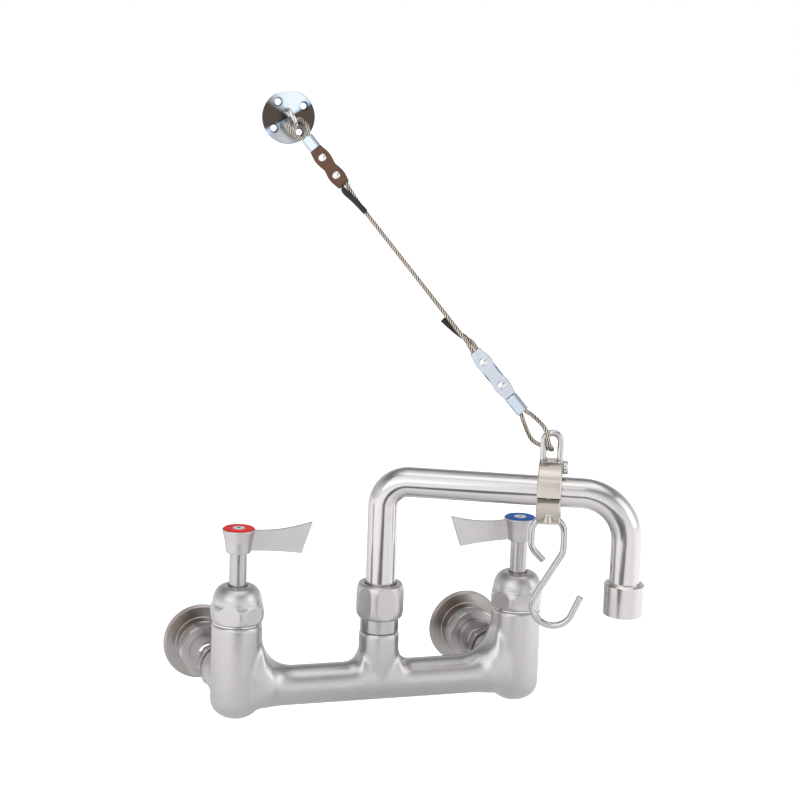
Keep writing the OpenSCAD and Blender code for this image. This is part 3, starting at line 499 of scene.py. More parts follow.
def plastic(name, color, roughness, grain=1.2, depth=0.01, shine=0.5):
    """A plastic, rubber or ceramic with a fine grain and slight tone changes."""
    made, tree, shader = new_material(name)
    shader.inputs["Specular IOR Level"].default_value = shine
    grains = noise(tree, in_place(tree), grain, 4.0)
    tinted(tree, grains.outputs[0], color, 0.86, 1.12)
    spread = 0.14
    rough = maths(tree, "MULTIPLY_ADD", grains.outputs[0], spread, roughness - spread / 2)
    link(tree, rough, shader, "Roughness")
    bumped(tree, grains.outputs[0], depth)
    return made


def geometry_tree(name, inputs):
    """An empty geometry tree with named inputs, those inputs' sockets and its output node."""
    tree = bpy.data.node_groups.new(name, "GeometryNodeTree")
    tree.interface.new_socket("Geometry", in_out="INPUT", socket_type="NodeSocketGeometry")
    for label, kind, value in inputs:
        socket = tree.interface.new_socket(label, in_out="INPUT", socket_type=kind)
        if value is not None:
            socket.default_value = value
    tree.interface.new_socket("Geometry", in_out="OUTPUT", socket_type="NodeSocketGeometry")
    return tree, node(tree, "NodeGroupInput").outputs, node(tree, "NodeGroupOutput")


def stored(tree, geometry, name, value, kind="FLOAT_VECTOR"):
    """The geometry with a value kept at its points."""
    return node(tree, "GeometryNodeStoreNamedAttribute", {"Geometry": geometry, "Name": name, "Value": value},
                data_type=kind, domain="POINT")


def grown(name, points, edges, tree, values):
    """The plain mesh that a geometry tree makes from points and edges in metres."""
    mesh = bpy.data.meshes.new(name + "_seed")
    mesh.from_pydata([tuple(p) for p in points], edges, [])
    work = linked(name + "_seed", mesh)
    modifier = work.modifiers.new("grow", "NODES")
    modifier.node_group = tree
    for item in tree.interface.items_tree:
        if item.in_out == "INPUT" and item.name in values:
            modifier[item.identifier] = values[item.name]
    made = plain_mesh(work, name)
    if not made.polygons:
        raise RuntimeError(name + " came out empty")
    return made


# Settings

def a_length(name, description, value):
    """A length setting, in metres."""
    return bpy.props.FloatProperty(name=name, description=description, default=value, unit="LENGTH")


def an_angle(name, description, degrees):
    """An angle setting."""
    return bpy.props.FloatProperty(name=name, description=description, default=math.radians(degrees),
                                   subtype="ANGLE")


def a_colour(name, description, value):
    """A colour setting."""
    return bpy.props.FloatVectorProperty(name=name, description=description, default=value, subtype="COLOR")


class FaucetStage(bpy.types.PropertyGroup):
    camera_at: bpy.props.FloatVectorProperty(
        name="Camera place", description="Where the camera stands", default=(-0.3485, -1.2448, 0.4215),
        subtype="TRANSLATION", unit="LENGTH")
    yaw: an_angle("Yaw", "Camera's turn to the right", 15.53)
    pitch: an_angle("Pitch", "Camera's tilt downwards", 8.82)
    roll: an_angle("Roll", "Camera's roll", -1.70)
    focal: bpy.props.FloatProperty(
        name="Focal length", description="Focal length in image pixels", default=1800.0)
    centre_px: bpy.props.FloatVectorProperty(
        name="Image centre", description="Pixel on the lens axis", size=2, default=(340.0, 340.0))
    floor_drop: a_length("Floor", "Height of the floor", -0.03)


class FaucetSteel(bpy.types.PropertyGroup):
    satin: a_colour("Satin steel", "Colour of the brushed parts", (0.53, 0.515, 0.51))
    satin_roughness: bpy.props.FloatProperty(
        name="Satin roughness", description="Roughness of the brushed parts", default=0.29, subtype="FACTOR")
    polished: a_colour("Polished steel", "Colour of the polished parts", (0.74, 0.73, 0.72))
    collar: a_colour("Collar steel", "Colour of the collar's faces", (0.36, 0.335, 0.30))
    fillet: a_length("Cast fillet", "Width of the blend between the cast forms", 3.0 * MM)


class FaucetLevers(bpy.types.PropertyGroup):
    hot: a_colour("Hot ring", "Colour of the hot index ring", (0.78, 0.012, 0.010))
    cold: a_colour("Cold ring", "Colour of the cold index ring", (0.004, 0.10, 0.42))
    edge: a_length("Lever edge", "Rounding of the levers' edges", 0.35 * MM)


class FaucetRope(bpy.types.PropertyGroup):
    diameter: a_length("Rope diameter", "Across the stranded rope", 3.2 * MM)
    strands: bpy.props.IntProperty(name="Strands", description="Outer strands", default=6)
    lay: a_length("Lay length", "Length of one turn of a strand", 17 * MM)
    color: a_colour("Rope steel", "Colour of the rope's wires", (0.78, 0.72, 0.64))


def settings(group):
    """One group of the scene's settings."""
    return getattr(bpy.context.scene, "faucet_" + group)


# Operators

class FAUCET_OT_stage(bpy.types.Operator):
    """Set the camera, the lights, the sky and the pale floor"""
    bl_idname = "faucet.stage"
    bl_label = "Stage"

    def execute(self, context):
        stage = settings("stage")
        yaw, pitch, roll = stage.yaw, stage.pitch, stage.roll
        forward = Vector((math.sin(yaw) * math.cos(pitch), math.cos(yaw) * math.cos(pitch), -math.sin(pitch)))
        right = Vector((math.cos(yaw), -math.sin(yaw), 0))
        down = forward.cross(right)
        across = math.cos(roll) * right + math.sin(roll) * down
        below = -math.sin(roll) * right + math.cos(roll) * down
        sensor, picture = 36, 800
        camera = bpy.data.cameras.new("view")
        camera.sensor_width = sensor
        camera.lens = stage.focal * sensor / picture
        camera.shift_x = (picture / 2 - stage.centre_px[0]) / picture
        camera.shift_y = (stage.centre_px[1] - picture / 2) / picture
        camera.clip_start = 0.01
        eye = linked("view", camera)
        turn = Matrix((across, -below, -forward)).transposed().to_4x4()
        eye.matrix_world = Matrix.Translation(Vector(stage.camera_at)) @ turn
        context.scene.camera = eye
        self.sky(context)
        self.floor(stage)
        aim = Vector((0.02, -0.08, 0.12))
        for name, place, size, power in (
                ("window_left", (-1.5, -1.3, 1.4), 1.9, 9),
                ("window_right", (1.6, -1.0, 0.9), 1.4, 5),
                ("top", (0.1, -0.5, 1.9), 1.9, 3)):
            lamp = bpy.data.lights.new(name, "AREA")
            lamp.shape = "SQUARE"
            lamp.size = size
            lamp.energy = power
            light = linked(name, lamp)
            light.location = place
            light.rotation_euler = (aim - Vector(place)).to_track_quat("-Z", "Y").to_euler()
        return {"FINISHED"}

    def sky(self, context):
        """A studio that reads white in the picture and has soft bands in the metal."""
        world = bpy.data.worlds.new("studio")
        context.scene.world = world
        world.use_nodes = True
        tree = world.node_tree
        way = node(tree, "ShaderNodeSeparateXYZ", {0: node(tree, "ShaderNodeTexCoord").outputs["Generated"]})
        level = maths(tree, "MULTIPLY_ADD", way.outputs[2], 0.5, 0.5)
        rising = ramp(tree, level, [
            (0.0, 0.50), (0.46, 0.80), (0.52, 0.80), (0.66, 0.72), (0.76, 0.50), (0.84, 0.30),
            (0.885, 0.28), (0.93, 0.5), (0.975, 0.86), (1.0, 0.86)])
        around = ramp(tree, heading_share(tree, way), [
            (0.0, 0.60), (0.16, 0.60), (0.24, 0.75), (0.33, 1.0), (0.44, 1.0), (0.50, 0.85),
            (0.56, 0.92), (0.62, 0.95), (0.70, 0.95), (0.78, 0.75), (0.88, 0.60), (1.0, 0.60)])
        glow = (1.55, 1.55, 1.57, 1)
        strong = times(tree, times(tree, rising.outputs[0], around.outputs[0]), glow)
        seen = node(tree, "ShaderNodeLightPath").outputs["Is Camera Ray"]
        link(tree, mixed(tree, seen, strong, WHITE), tree.nodes["Background"], "Color")

    def floor(self, stage):
        """A wide pale floor that glows; for the metal's reflections its glow is painted darker near the
        faucet, with one dark strip ahead.
        """
        half, low = 30.0, stage.floor_drop
        mesh = bpy.data.meshes.new("floor")
        corners = [(-half, -half, low), (half, -half, low), (half, half, low), (-half, half, low)]
        mesh.from_pydata(corners, [], [(0, 1, 2, 3)])
        plane = linked("floor", mesh)
        white = plastic("floor_white", (0.15, 0.15, 0.15), 0.9, grain=0.02, depth=0.0)
        tree = white.node_tree
        shader = tree.nodes["Principled BSDF"]
        place = node(tree, "ShaderNodeSeparateXYZ", {0: node(tree, "ShaderNodeTexCoord").outputs["Object"]})
        lit = ramp(tree, heading_share(tree, place), [
            (0.0, 0.50), (0.10, 0.65), (0.20, 0.88), (0.34, 0.95), (0.45, 0.84), (0.60, 0.76), (0.66, 0.98),
            (0.80, 1.0), (0.90, 0.65), (1.0, 0.50)])
        # Painted shade in the floor's glow: darker near the faucet's axis.
        under = ramp(tree, from_axis(tree, place), [
            (0.0, 0.44), (0.12, 0.56), (0.27, 0.88), (0.5, 1.0), (1.0, 1.0)])
        strip = ramp(tree, maths(tree, "ADD", place.outputs[0], 0.5), [
            (0.0, 1.0), (0.265, 1.0), (0.285, 0.02), (0.455, 0.02), (0.475, 1.0), (1.0, 1.0)])
        ahead = ramp(tree, maths(tree, "MULTIPLY", place.outputs[1], -1.0), [
            (0.0, 0.0), (0.29, 0.0), (0.33, 1.0), (1.0, 1.0)])
        shown = mixed(tree, ahead.outputs[0], WHITE, strip.outputs[0])
        mirrored = times(tree, times(tree, lit.outputs[0], under.outputs[0]), shown)
        seen = node(tree, "ShaderNodeLightPath").outputs["Is Camera Ray"]
        link(tree, mixed(tree, seen, mirrored, WHITE), shader, "Emission Color")
        shader.inputs["Emission Strength"].default_value = 1.3
        mesh.materials.append(white)


class FAUCET_OT_rope(bpy.types.Operator):
    """Lay the stranded stay rope along its route"""
    bl_idname = "faucet.rope"
    bl_label = "Stay rope"

    def execute(self, context):
        values = settings("rope")
        line = rope_line(0.125)
        ring_step = 0.8 * MM
        tree, given, out = geometry_tree("laid_rope", [
            ("Rope Radius", "NodeSocketFloat", ROPE_R * MM), ("Strands", "NodeSocketInt", 6),
            ("Lay Length", "NodeSocketFloat", 17 * MM), ("Ring Step", "NodeSocketFloat", ring_step),
            ("Rope Material", "NodeSocketMaterial", None)])
        path = node(tree, "GeometryNodeMeshToCurve", {0: given["Geometry"]})
        even = node(tree, "GeometryNodeResampleCurve", {"Curve": path, "Length": given["Ring Step"]},
                    mode="LENGTH")
        along = node(tree, "GeometryNodeSplineParameter")
        turns = maths(tree, "DIVIDE", along.outputs["Length"], given["Lay Length"])
        laid = node(tree, "GeometryNodeSetCurveTilt", {"Curve": even,
                    "Tilt": maths(tree, "MULTIPLY", turns, 2 * math.pi)})
        kept = stored(tree, laid, "rope_run", along.outputs["Length"], "FLOAT")
        strand_r = maths(tree, "DIVIDE", given["Rope Radius"], 3.0)
        ring_r = maths(tree, "MULTIPLY", strand_r, 2.0)
        places = node(tree, "GeometryNodeMeshCircle", {"Vertices": given["Strands"],
                      "Radius": ring_r})
        unit = node(tree, "GeometryNodeCurvePrimitiveCircle", {"Resolution": 8, "Radius": 1.0})
        marked = stored(tree, unit, "strand_round", node(tree, "GeometryNodeInputPosition"))
        size = node(tree, "ShaderNodeCombineXYZ", {0: strand_r, 1: strand_r, 2: strand_r})
        strand = node(tree, "GeometryNodeTransform", {"Geometry": marked, "Scale": size})
        outer = node(tree, "GeometryNodeInstanceOnPoints", {"Points": places, "Instance": strand})
        whole = node(tree, "GeometryNodeJoinGeometry", {0: outer})
        link(tree, strand, whole, 0)
        joined = node(tree, "GeometryNodeRealizeInstances", {0: whole})
        section = stored(tree, joined, "rope_section", node(tree, "GeometryNodeInputPosition"))
        swept = node(tree, "GeometryNodeCurveToMesh", {"Curve": kept, "Profile Curve": section,
                     "Fill Caps": True})
        real = node(tree, "GeometryNodeRealizeInstances", {0: swept})
        finished = node(tree, "GeometryNodeSetMaterial", {"Geometry": real,
                        "Material": given["Rope Material"]})
        link(tree, finished, out, 0)
        material = self.wire(values)
        mesh = grown("stay_rope_strands", line, [(i, i + 1) for i in range(len(line) - 1)], tree, {
            "Rope Radius": values.diameter / 2, "Strands": values.strands, "Lay Length": values.lay,
            "Ring Step": ring_step, "Rope Material": material})
        rope = keep_piece("stay_rope_strands", shade(mesh, 50), material, ["stay_rope"])
        return {"FINISHED"}

    def wire(self, values):
        """Wires wound round each strand, with painted shade between the strands."""
        wires_round, wire_lay, wire_depth = 6.0, 1.5 * MM, 0.05
        made = metal("rope_wire", values.color, 0.30, mark_depth=0.0, tint=0.18)
        tree = made.node_tree
        strand = node(tree, "ShaderNodeAttribute", attribute_name="strand_round")
        around = node(tree, "ShaderNodeSeparateXYZ", {0: strand.outputs["Vector"]})
        angle = maths(tree, "ARCTAN2", around.outputs[1], around.outputs[0])
        run = node(tree, "ShaderNodeAttribute", attribute_name="rope_run")
        phase = maths(tree, "MULTIPLY_ADD", run.outputs["Fac"], -2 * math.pi / wire_lay,
                      maths(tree, "MULTIPLY", angle, wires_round))
        bumped(tree, maths(tree, "MULTIPLY_ADD", maths(tree, "SINE", phase), 0.5, 0.5), wire_depth)
        section = node(tree, "ShaderNodeAttribute", attribute_name="rope_section")
        out = node(tree, "ShaderNodeVectorMath", {0: section.outputs["Vector"]}, operation="LENGTH")
        share = maths(tree, "DIVIDE", out.outputs["Value"], values.diameter / 2)
        # Painted shade: the strands darken towards the rope's core, where they meet.
        painted_strand_shade = ramp(tree, share, [
            (0.70, (0.008, 0.005, 0.003)), (0.87, (0.22, 0.17, 0.13)), (0.975, (1, 1, 1))])
        shaded(tree, painted_strand_shade.outputs[0])
        return made


class FAUCET_OT_cast_body(bpy.types.Operator):
    """Cast the body: two pillars and a boss blended into the cross bar"""
    bl_idname = "faucet.cast_body"
    bl_label = "Cast body"

    def execute(self, context):
        steel = settings("steel")
        bm = bmesh.new()
        self.bar(bm)
        at_body = Matrix.Translation(BODY_AT)
        revolved(bm, [(0, -2), (BOSS_R - 0.8, -2), (BOSS_R - 0.4, 4), (BOSS_R, 20),
                      (BOSS_R, BOSS_TOP - EDGE), (BOSS_R - EDGE, BOSS_TOP), (0, BOSS_TOP)], at_body)
        axis, face, inlet_r = -BODY_AT.y, 39.6, 15.5
        inlet = [(0, face), (inlet_r - EDGE, face), (inlet_r, face + EDGE), (inlet_r, 63),
                 (PILLAR_R - EDGE, axis), (0, axis)]
        for side in (-1, 1):
            revolved(bm, self.pillar(), at_body @ Matrix.Translation((side * INLET_HALF, 0, 0)))
            behind = Matrix.Translation((side * INLET_HALF + BODY_AT.x, 0, BODY_AT.z))
            revolved(bm, inlet, behind @ Matrix.Rotation(math.radians(90), 4, "X"))
        chamber, neck, top = (12.9, 24.5), (10.1, BOSS_TOP - 16), 60
        bores = bmesh.new()
        for x, (r, low) in ((-INLET_HALF, chamber), (0, neck), (INLET_HALF, chamber)):
            revolved(bores, [(0, low), (r, low), (r, top), (0, top)], at_body @ Matrix.Translation((x, 0, 0)))
        cutter = linked("bores", mesh_from(bores, "bores"))
        cast = baked(mesh_from(bm, "cast_forms", None), "cast_body", [
            ("REMESH", {"mode": "VOXEL", "voxel_size": 1.1 * MM, "use_smooth_shade": True}),
            ("SMOOTH", {"factor": 0.5, "iterations": round(steel.fillet / (0.2 * MM))}),
            ("BOOLEAN", {"object": cutter, "operation": "DIFFERENCE", "solver": "EXACT"})], angle=70)
        bpy.data.objects.remove(cutter)
        satin = metal("cast_satin", steel.satin, steel.satin_roughness, brushed_along(BODY_AT, 1.5, 0.8),
                      mark_depth=0.005, mark_share=0.12, cloud=0.12, tint=0.05)
        keep_piece("cast_body", cast, satin, ["body"])
        return {"FINISHED"}

    def pillar(self):
        """Profile of a pillar with a rounded foot."""
        rise = 13
        foot = [(PILLAR_R * math.sin(a), PILLAR_FOOT + rise - rise * math.cos(a))
                for a in (math.radians(7.5 * k) for k in range(1, 13))]
        top = [(PILLAR_R, PILLAR_TOP - EDGE), (PILLAR_R - EDGE, PILLAR_TOP), (0, PILLAR_TOP)]
        return [(0, PILLAR_FOOT)] + foot + top

    def bar(self, bm):
        """The bar's rings: it rises into the pillars and the boss and hangs lower at its ends."""
        def blend(d, r):
            return 0 if d >= r else r - math.sqrt(max(0, r * r - (r - max(d, 0)) ** 2))
        steps, sides, half = 96, 48, INLET_HALF - PILLAR_R / 2
        pillar_rise, pillar_side, boss_rise, belly = 24, 14, 9, 3
        rows = []
        for i in range(steps + 1):
            x = half * (2 * i / steps - 1)
            gap = INLET_HALF - PILLAR_R - abs(x)
            up = BAR_R + max(blend(gap, pillar_rise), blend(abs(x) - BOSS_R, boss_rise))
            down = BAR_R + belly * max(0, 1 - (INLET_HALF - abs(x)) / (2 * PILLAR_R)) ** 2
            deep = BAR_R + min(blend(gap, pillar_side), PILLAR_R - BAR_R - EDGE)
            ring = []
            for j in range(sides):
                a = 2 * math.pi * j / sides
                z = (up if math.sin(a) > 0 else down) * math.sin(a)
                ring.append(bm.verts.new(MM * (BODY_AT + Vector((x, deep * math.cos(a), z)))))
            rows.append(ring)
        skinned(bm, rows)
        bm.faces.new(rows[0])
        bm.faces.new(list(reversed(rows[-1])))


class FAUCET_OT_wall_fittings(bpy.types.Operator):
    """Finish the flanges, union nuts, eccentric couplings and washers"""
    bl_idname = "faucet.wall_fittings"
    bl_label = "Wall fittings"

    def execute(self, context):
        steel = settings("steel")
        for side, word in ((-1, "hot"), (1, "cold")):
            centre = (side * INLET_HALF, 0, 0)
            turned = metal(word + "_flange_turned_painted_reflections", toned(steel.satin, 0.86), 0.30,
                           brushed_round(centre, 6.0, WALL_AXIS), mark_share=0.2)
            # Painted reflections: lighter and darker sectors by angle, multiplied into the flange's base
            # colour.
            painted_reflection_sectors(turned, centre, [
                (-180, (0.92, 0.90, 0.89)), (-120, (1, 0.98, 0.97)), (-60, (0.72, 0.67, 0.64)),
                (-20, (1, 0.98, 0.97)), (40, (0.86, 0.81, 0.78)), (75, (1.1, 1.1, 1.1)),
                (110, (0.62, 0.54, 0.49)), (150, (0.68, 0.61, 0.57)), (180, (0.92, 0.90, 0.89))])
            finish_nodes(turned, word + "_flange")
            milled = metal(word + "_nut_satin", steel.satin, 0.30, brushed_round(centre, 4.0, WALL_AXIS),
                           mark_share=0.12)
            finish_nodes(milled, word + "_union_nut", word + "_coupling")
        rubber = plastic("washer_rubber", (0.03, 0.03, 0.03), 0.6)
        finish_nodes(rubber, "hot_inlet_washer", "cold_inlet_washer")
        return {"FINISHED"}


class FAUCET_OT_valves(bpy.types.Operator):
    """Finish the bonnets, spindles, headworks and ceramic discs"""
    bl_idname = "faucet.valves"
    bl_label = "Valves"

    def execute(self, context):
        steel = settings("steel")
        for side, word in ((-1, "hot"), (1, "cold")):
            centre = BODY_AT + Vector((side * INLET_HALF, 0, 0))
            satin = metal(word + "_bonnet_satin", toned(steel.satin, 1.02), 0.33,
                          brushed_round(centre, 3.0), mark_share=0.10, mark_depth=0.006)
            name = word + "_bonnet_barrel"
            keep_piece(name, self.bonnet(name, centre, -60 if side < 0 else -90), satin, [word + "_bonnet"])
            ground = metal(word + "_spindle_ground", toned(steel.satin, 0.9), 0.26,
                           brushed_round(centre, 6.0), mark_share=0.14)
            finish_nodes(ground, word + "_spindle")
            bright = metal(word + "_headwork_bright", steel.polished, 0.14, brushed_round(centre, 4.0),
                           mark_share=0.06)
            finish_nodes(bright, word + "_headwork")
            ceramic = plastic(word + "_ceramic", (0.85, 0.84, 0.80), 0.2)
            finish_nodes(ceramic, word + "_fixed_disc", word + "_moving_disc")
        return {"FINISHED"}

    def bonnet(self, name, centre, turn):
        """A barrel with six flats under a dome, bored for the headwork and the spindle."""
        waist_r, end_r, crown_r, flat_r = 18.7, 17, 9.2, 17.1
        barrel_h, dome_h, thread_h = 13, 11.95, 18.1
        thread_r, stem_r, chamfer = 11.0, 7.0, 0.3
        top = barrel_h + dome_h
        dome = [(crown_r + (end_r - crown_r) * math.cos(a), barrel_h + dome_h * math.sin(a))
                for a in (math.radians(90 * i / 16) for i in range(1, 17))]
        bore = [(stem_r + chamfer, top), (stem_r, top - chamfer), (stem_r, thread_h), (thread_r, thread_h),
                (thread_r, 0)]
        profile = [(end_r - 0.4, 0)] + barrel_profile(waist_r, end_r, barrel_h, 3)[1:] + dome
        foot = Matrix.Translation(centre + (PILLAR_TOP + 1) * UP)
        return milled_barrel(name, profile, flat_r, turn, foot, bore)


class FAUCET_OT_levers(bpy.types.Operator):
    """Finish the levers, their index rings and their screws"""
    bl_idname = "faucet.levers"
    bl_label = "Levers"

    def execute(self, context):
        steel, levers = settings("steel"), settings("levers")
        for side, word, tint in ((-1, "hot", levers.hot), (1, "cold", levers.cold)):
            satin = metal(word + "_lever_satin", toned(steel.satin, 1.02), 0.32,
                          brushed_along(BODY_AT, 7.0, 0.5), mark_share=0.12, mark_depth=0.008)
            lever = word + "_lever"
            keep_piece(lever + "_blade", broken_edges(lever, levers.edge / MM), satin, [lever])
            gloss = plastic(word + "_ring_gloss", tint, 0.45, shine=0.12, depth=0.004)
            finish_nodes(gloss, word + "_index_ring")
            bright = metal(word + "_screw_bright", steel.polished, 0.16, mark_share=0.04)
            finish_nodes(bright, lever + "_screw")
        return {"FINISHED"}


class FAUCET_OT_swivel(bpy.types.Operator):
    """Finish the neck ring, swivel nut, spigot, seals and retaining ring"""
    bl_idname = "faucet.swivel"
    bl_label = "Swivel"

    def execute(self, context):
        steel = settings("steel")
        marks = brushed_round(BODY_AT, 4.0)
        waist_r, end_r, top_r, flat_r, height = 16.7, 14.9, 13.4, 15.5, 23.9
        tube_r, ring_r, neck_r, chamfer = 11.3, 13.7, 12.1, 0.3
        ring_low, ring_high = 12, 16.4
        profile = barrel_profile(waist_r, end_r, height, 5) + [(top_r, height)]
        bore = [(tube_r + chamfer, height), (tube_r, height - chamfer), (tube_r, ring_high),
                (ring_r, ring_high), (ring_r, ring_low), (neck_r, ring_low), (neck_r, 0)]
        foot = Matrix.Translation(BODY_AT + (BOSS_TOP + 10.1) * UP)
        keep_piece("swivel_barrel", milled_barrel("swivel_barrel", profile, flat_r, -90, foot, bore),
                   metal("swivel_satin", steel.satin, 0.30, marks, mark_share=0.12), ["swivel_nut"])
        neck = metal("neck_bright", toned(steel.satin, 0.9), 0.20, marks, mark_share=0.10)
        finish_nodes(neck, "neck_ring", "spout_spigot", "retaining_ring")
        finish_nodes(plastic("seal_rubber", (0.02, 0.02, 0.02), 0.5), "swivel_seals")
        return {"FINISHED"}


class FAUCET_OT_spout(bpy.types.Operator):
    """Sweep the bent spout tube and finish its nozzle"""
    bl_idname = "faucet.spout"
    bl_label = "Spout"

    def execute(self, context):
        steel = settings("steel")
        foot, riser_bend, outlet_bend, nozzle_foot, tube_stop = 58.8, 18, 31, 60.5, 8.5
        steps = [(ARM_RISE - riser_bend - foot, riser_bend, 90),
                 (ARM_LEN - riser_bend - outlet_bend, outlet_bend, 90),
                 (ARM_RISE - outlet_bend - nozzle_foot - tube_stop, 0, 0)]
        line = bent_line(steps, (0, foot), 0.0, lambda x, z: BODY_AT + x * ARM + z * UP, 3)
        satin = metal("spout_satin", toned(steel.satin, 1.16), 0.15, brushed_tube, mark_depth=0.004,
                      mark_share=0.08, tint=0.05)
        tube = swept_tube("spout_bend", line, [TUBE_R * MM] * len(line), 72, 60)
        keep_piece("spout_bend", tube, satin, ["spout_tube"])
        turned = metal("nozzle_turned", toned(steel.satin, 1.12), 0.14,
                       brushed_round(BODY_AT + ARM_LEN * ARM, 5.0), mark_share=0.16)
        finish_nodes(turned, "nozzle")
        finish_nodes(plastic("straightener_white", (0.75, 0.75, 0.73), 0.4), "flow_straightener")
        return {"FINISHED"}


class FAUCET_OT_collar(bpy.types.Operator):
    """Finish the split collar with its polished edges, and its screws"""
    bl_idname = "faucet.collar"
    bl_label = "Collar"

    def execute(self, context):
        steel = settings("steel")
        turn = (0, 0, math.degrees(SPOUT_TURN))
        satin = metal("collar_satin", toned(steel.collar, 1.5), 0.16,
                      brushed_along(COLLAR_AT, 6.0, 4.0, turn), mark_share=0.12, mark_depth=0.008)
        for half in ("collar_upper", "collar_lower"):
            keep_piece(half + "_edges", broken_edges(half, 0.25), satin, [half])
        finish_nodes(metal("collar_screw_bright", steel.polished, 0.2), "collar_screws")
        return {"FINISHED"}


class FAUCET_OT_shackle_and_hook(bpy.types.Operator):
    """Bend the polished bucket hook and finish the shackle and its pin"""
    bl_idname = "faucet.shackle_and_hook"
    bl_label = "Shackle and hook"

    def execute(self, context):
        steel = settings("steel")
        bright = metal("rod_polished", toned(steel.polished, 0.74), 0.10, mark_share=0.05, cloud=0.04,
                       mark_depth=0.03, tint=0.03)
        seat, cut_end, knee_r, eye_side, eye_r, wire_r = 17.8, 9, 8, 8, 11, 2.35
        steps = [(cut_end, knee_r, 45), (eye_side, eye_r, 180), (10, 12, 29.28), (33, 14, -186.08),
                 (14.5, 0, 0)]
        heading = math.radians(-45)
        lead_x = cut_end * math.sin(heading) - knee_r * (1 - math.cos(heading))
        lead_z = cut_end * math.cos(heading) - knee_r * math.sin(heading)
        start = (-eye_r - lead_x, -seat - eye_r - eye_side - lead_z)
        line = bent_line(steps, start, heading, lambda x, z: COLLAR_AT + x * ARM + z * UP, 5)
        line, radii = cut_ends(line, wire_r * MM)
        keep_piece("bucket_hook", swept_tube("bucket_hook", line, radii, 28, 30), bright, ["hook"])
        finish_nodes(bright, "shackle", "shackle_pin")
        return {"FINISHED"}


class FAUCET_OT_wall_mount(bpy.types.Operator):
    """Finish the turned wall plate, with painted reflection sectors, and its eye"""
    bl_idname = "faucet.wall_mount"
    bl_label = "Wall plate and eye"

    def execute(self, context):
        steel = settings("steel")
        # brown, blue, pale and grey are colours of painted reflections, set round the plate by angle below.
        brown, blue, pale, grey = (0.10, 0.075, 0.065), (0.6, 0.8, 1.0), (0.95, 1.0, 1.0), (0.62, 0.63, 0.64)
        plate = metal("plate_spun_painted_reflections", (0.80, 0.83, 0.86), 0.22, brushed_round(PLATE_AT, 9.0, WALL_AXIS),
                      mark_share=0.14, anisotropy=0.85)
        tree = plate.node_tree
        tangent = node(tree, "ShaderNodeTangent", direction_type="RADIAL", axis="Y")
        link(tree, tangent, tree.nodes["Principled BSDF"], "Tangent")
        painted_reflection_sectors(plate, PLATE_AT, [
            (-180, brown), (-156, brown), (-146, blue), (-134, (0.5, 0.52, 0.55)), (-95, grey),
            (-50, (0.5, 0.49, 0.48)), (-28, brown), (28, brown), (38, blue), (52, pale),
            (112, (0.85, 0.93, 0.97)), (135, (0.4, 0.44, 0.46)), (150, brown), (180, brown)])
        finish_nodes(plate, "wall_plate")
        eye = metal("eye_polished", toned(steel.polished, 0.8), 0.09, mark_share=0.05, mark_depth=0.03)
        finish_nodes(eye, "wall_eye")
        return {"FINISHED"}


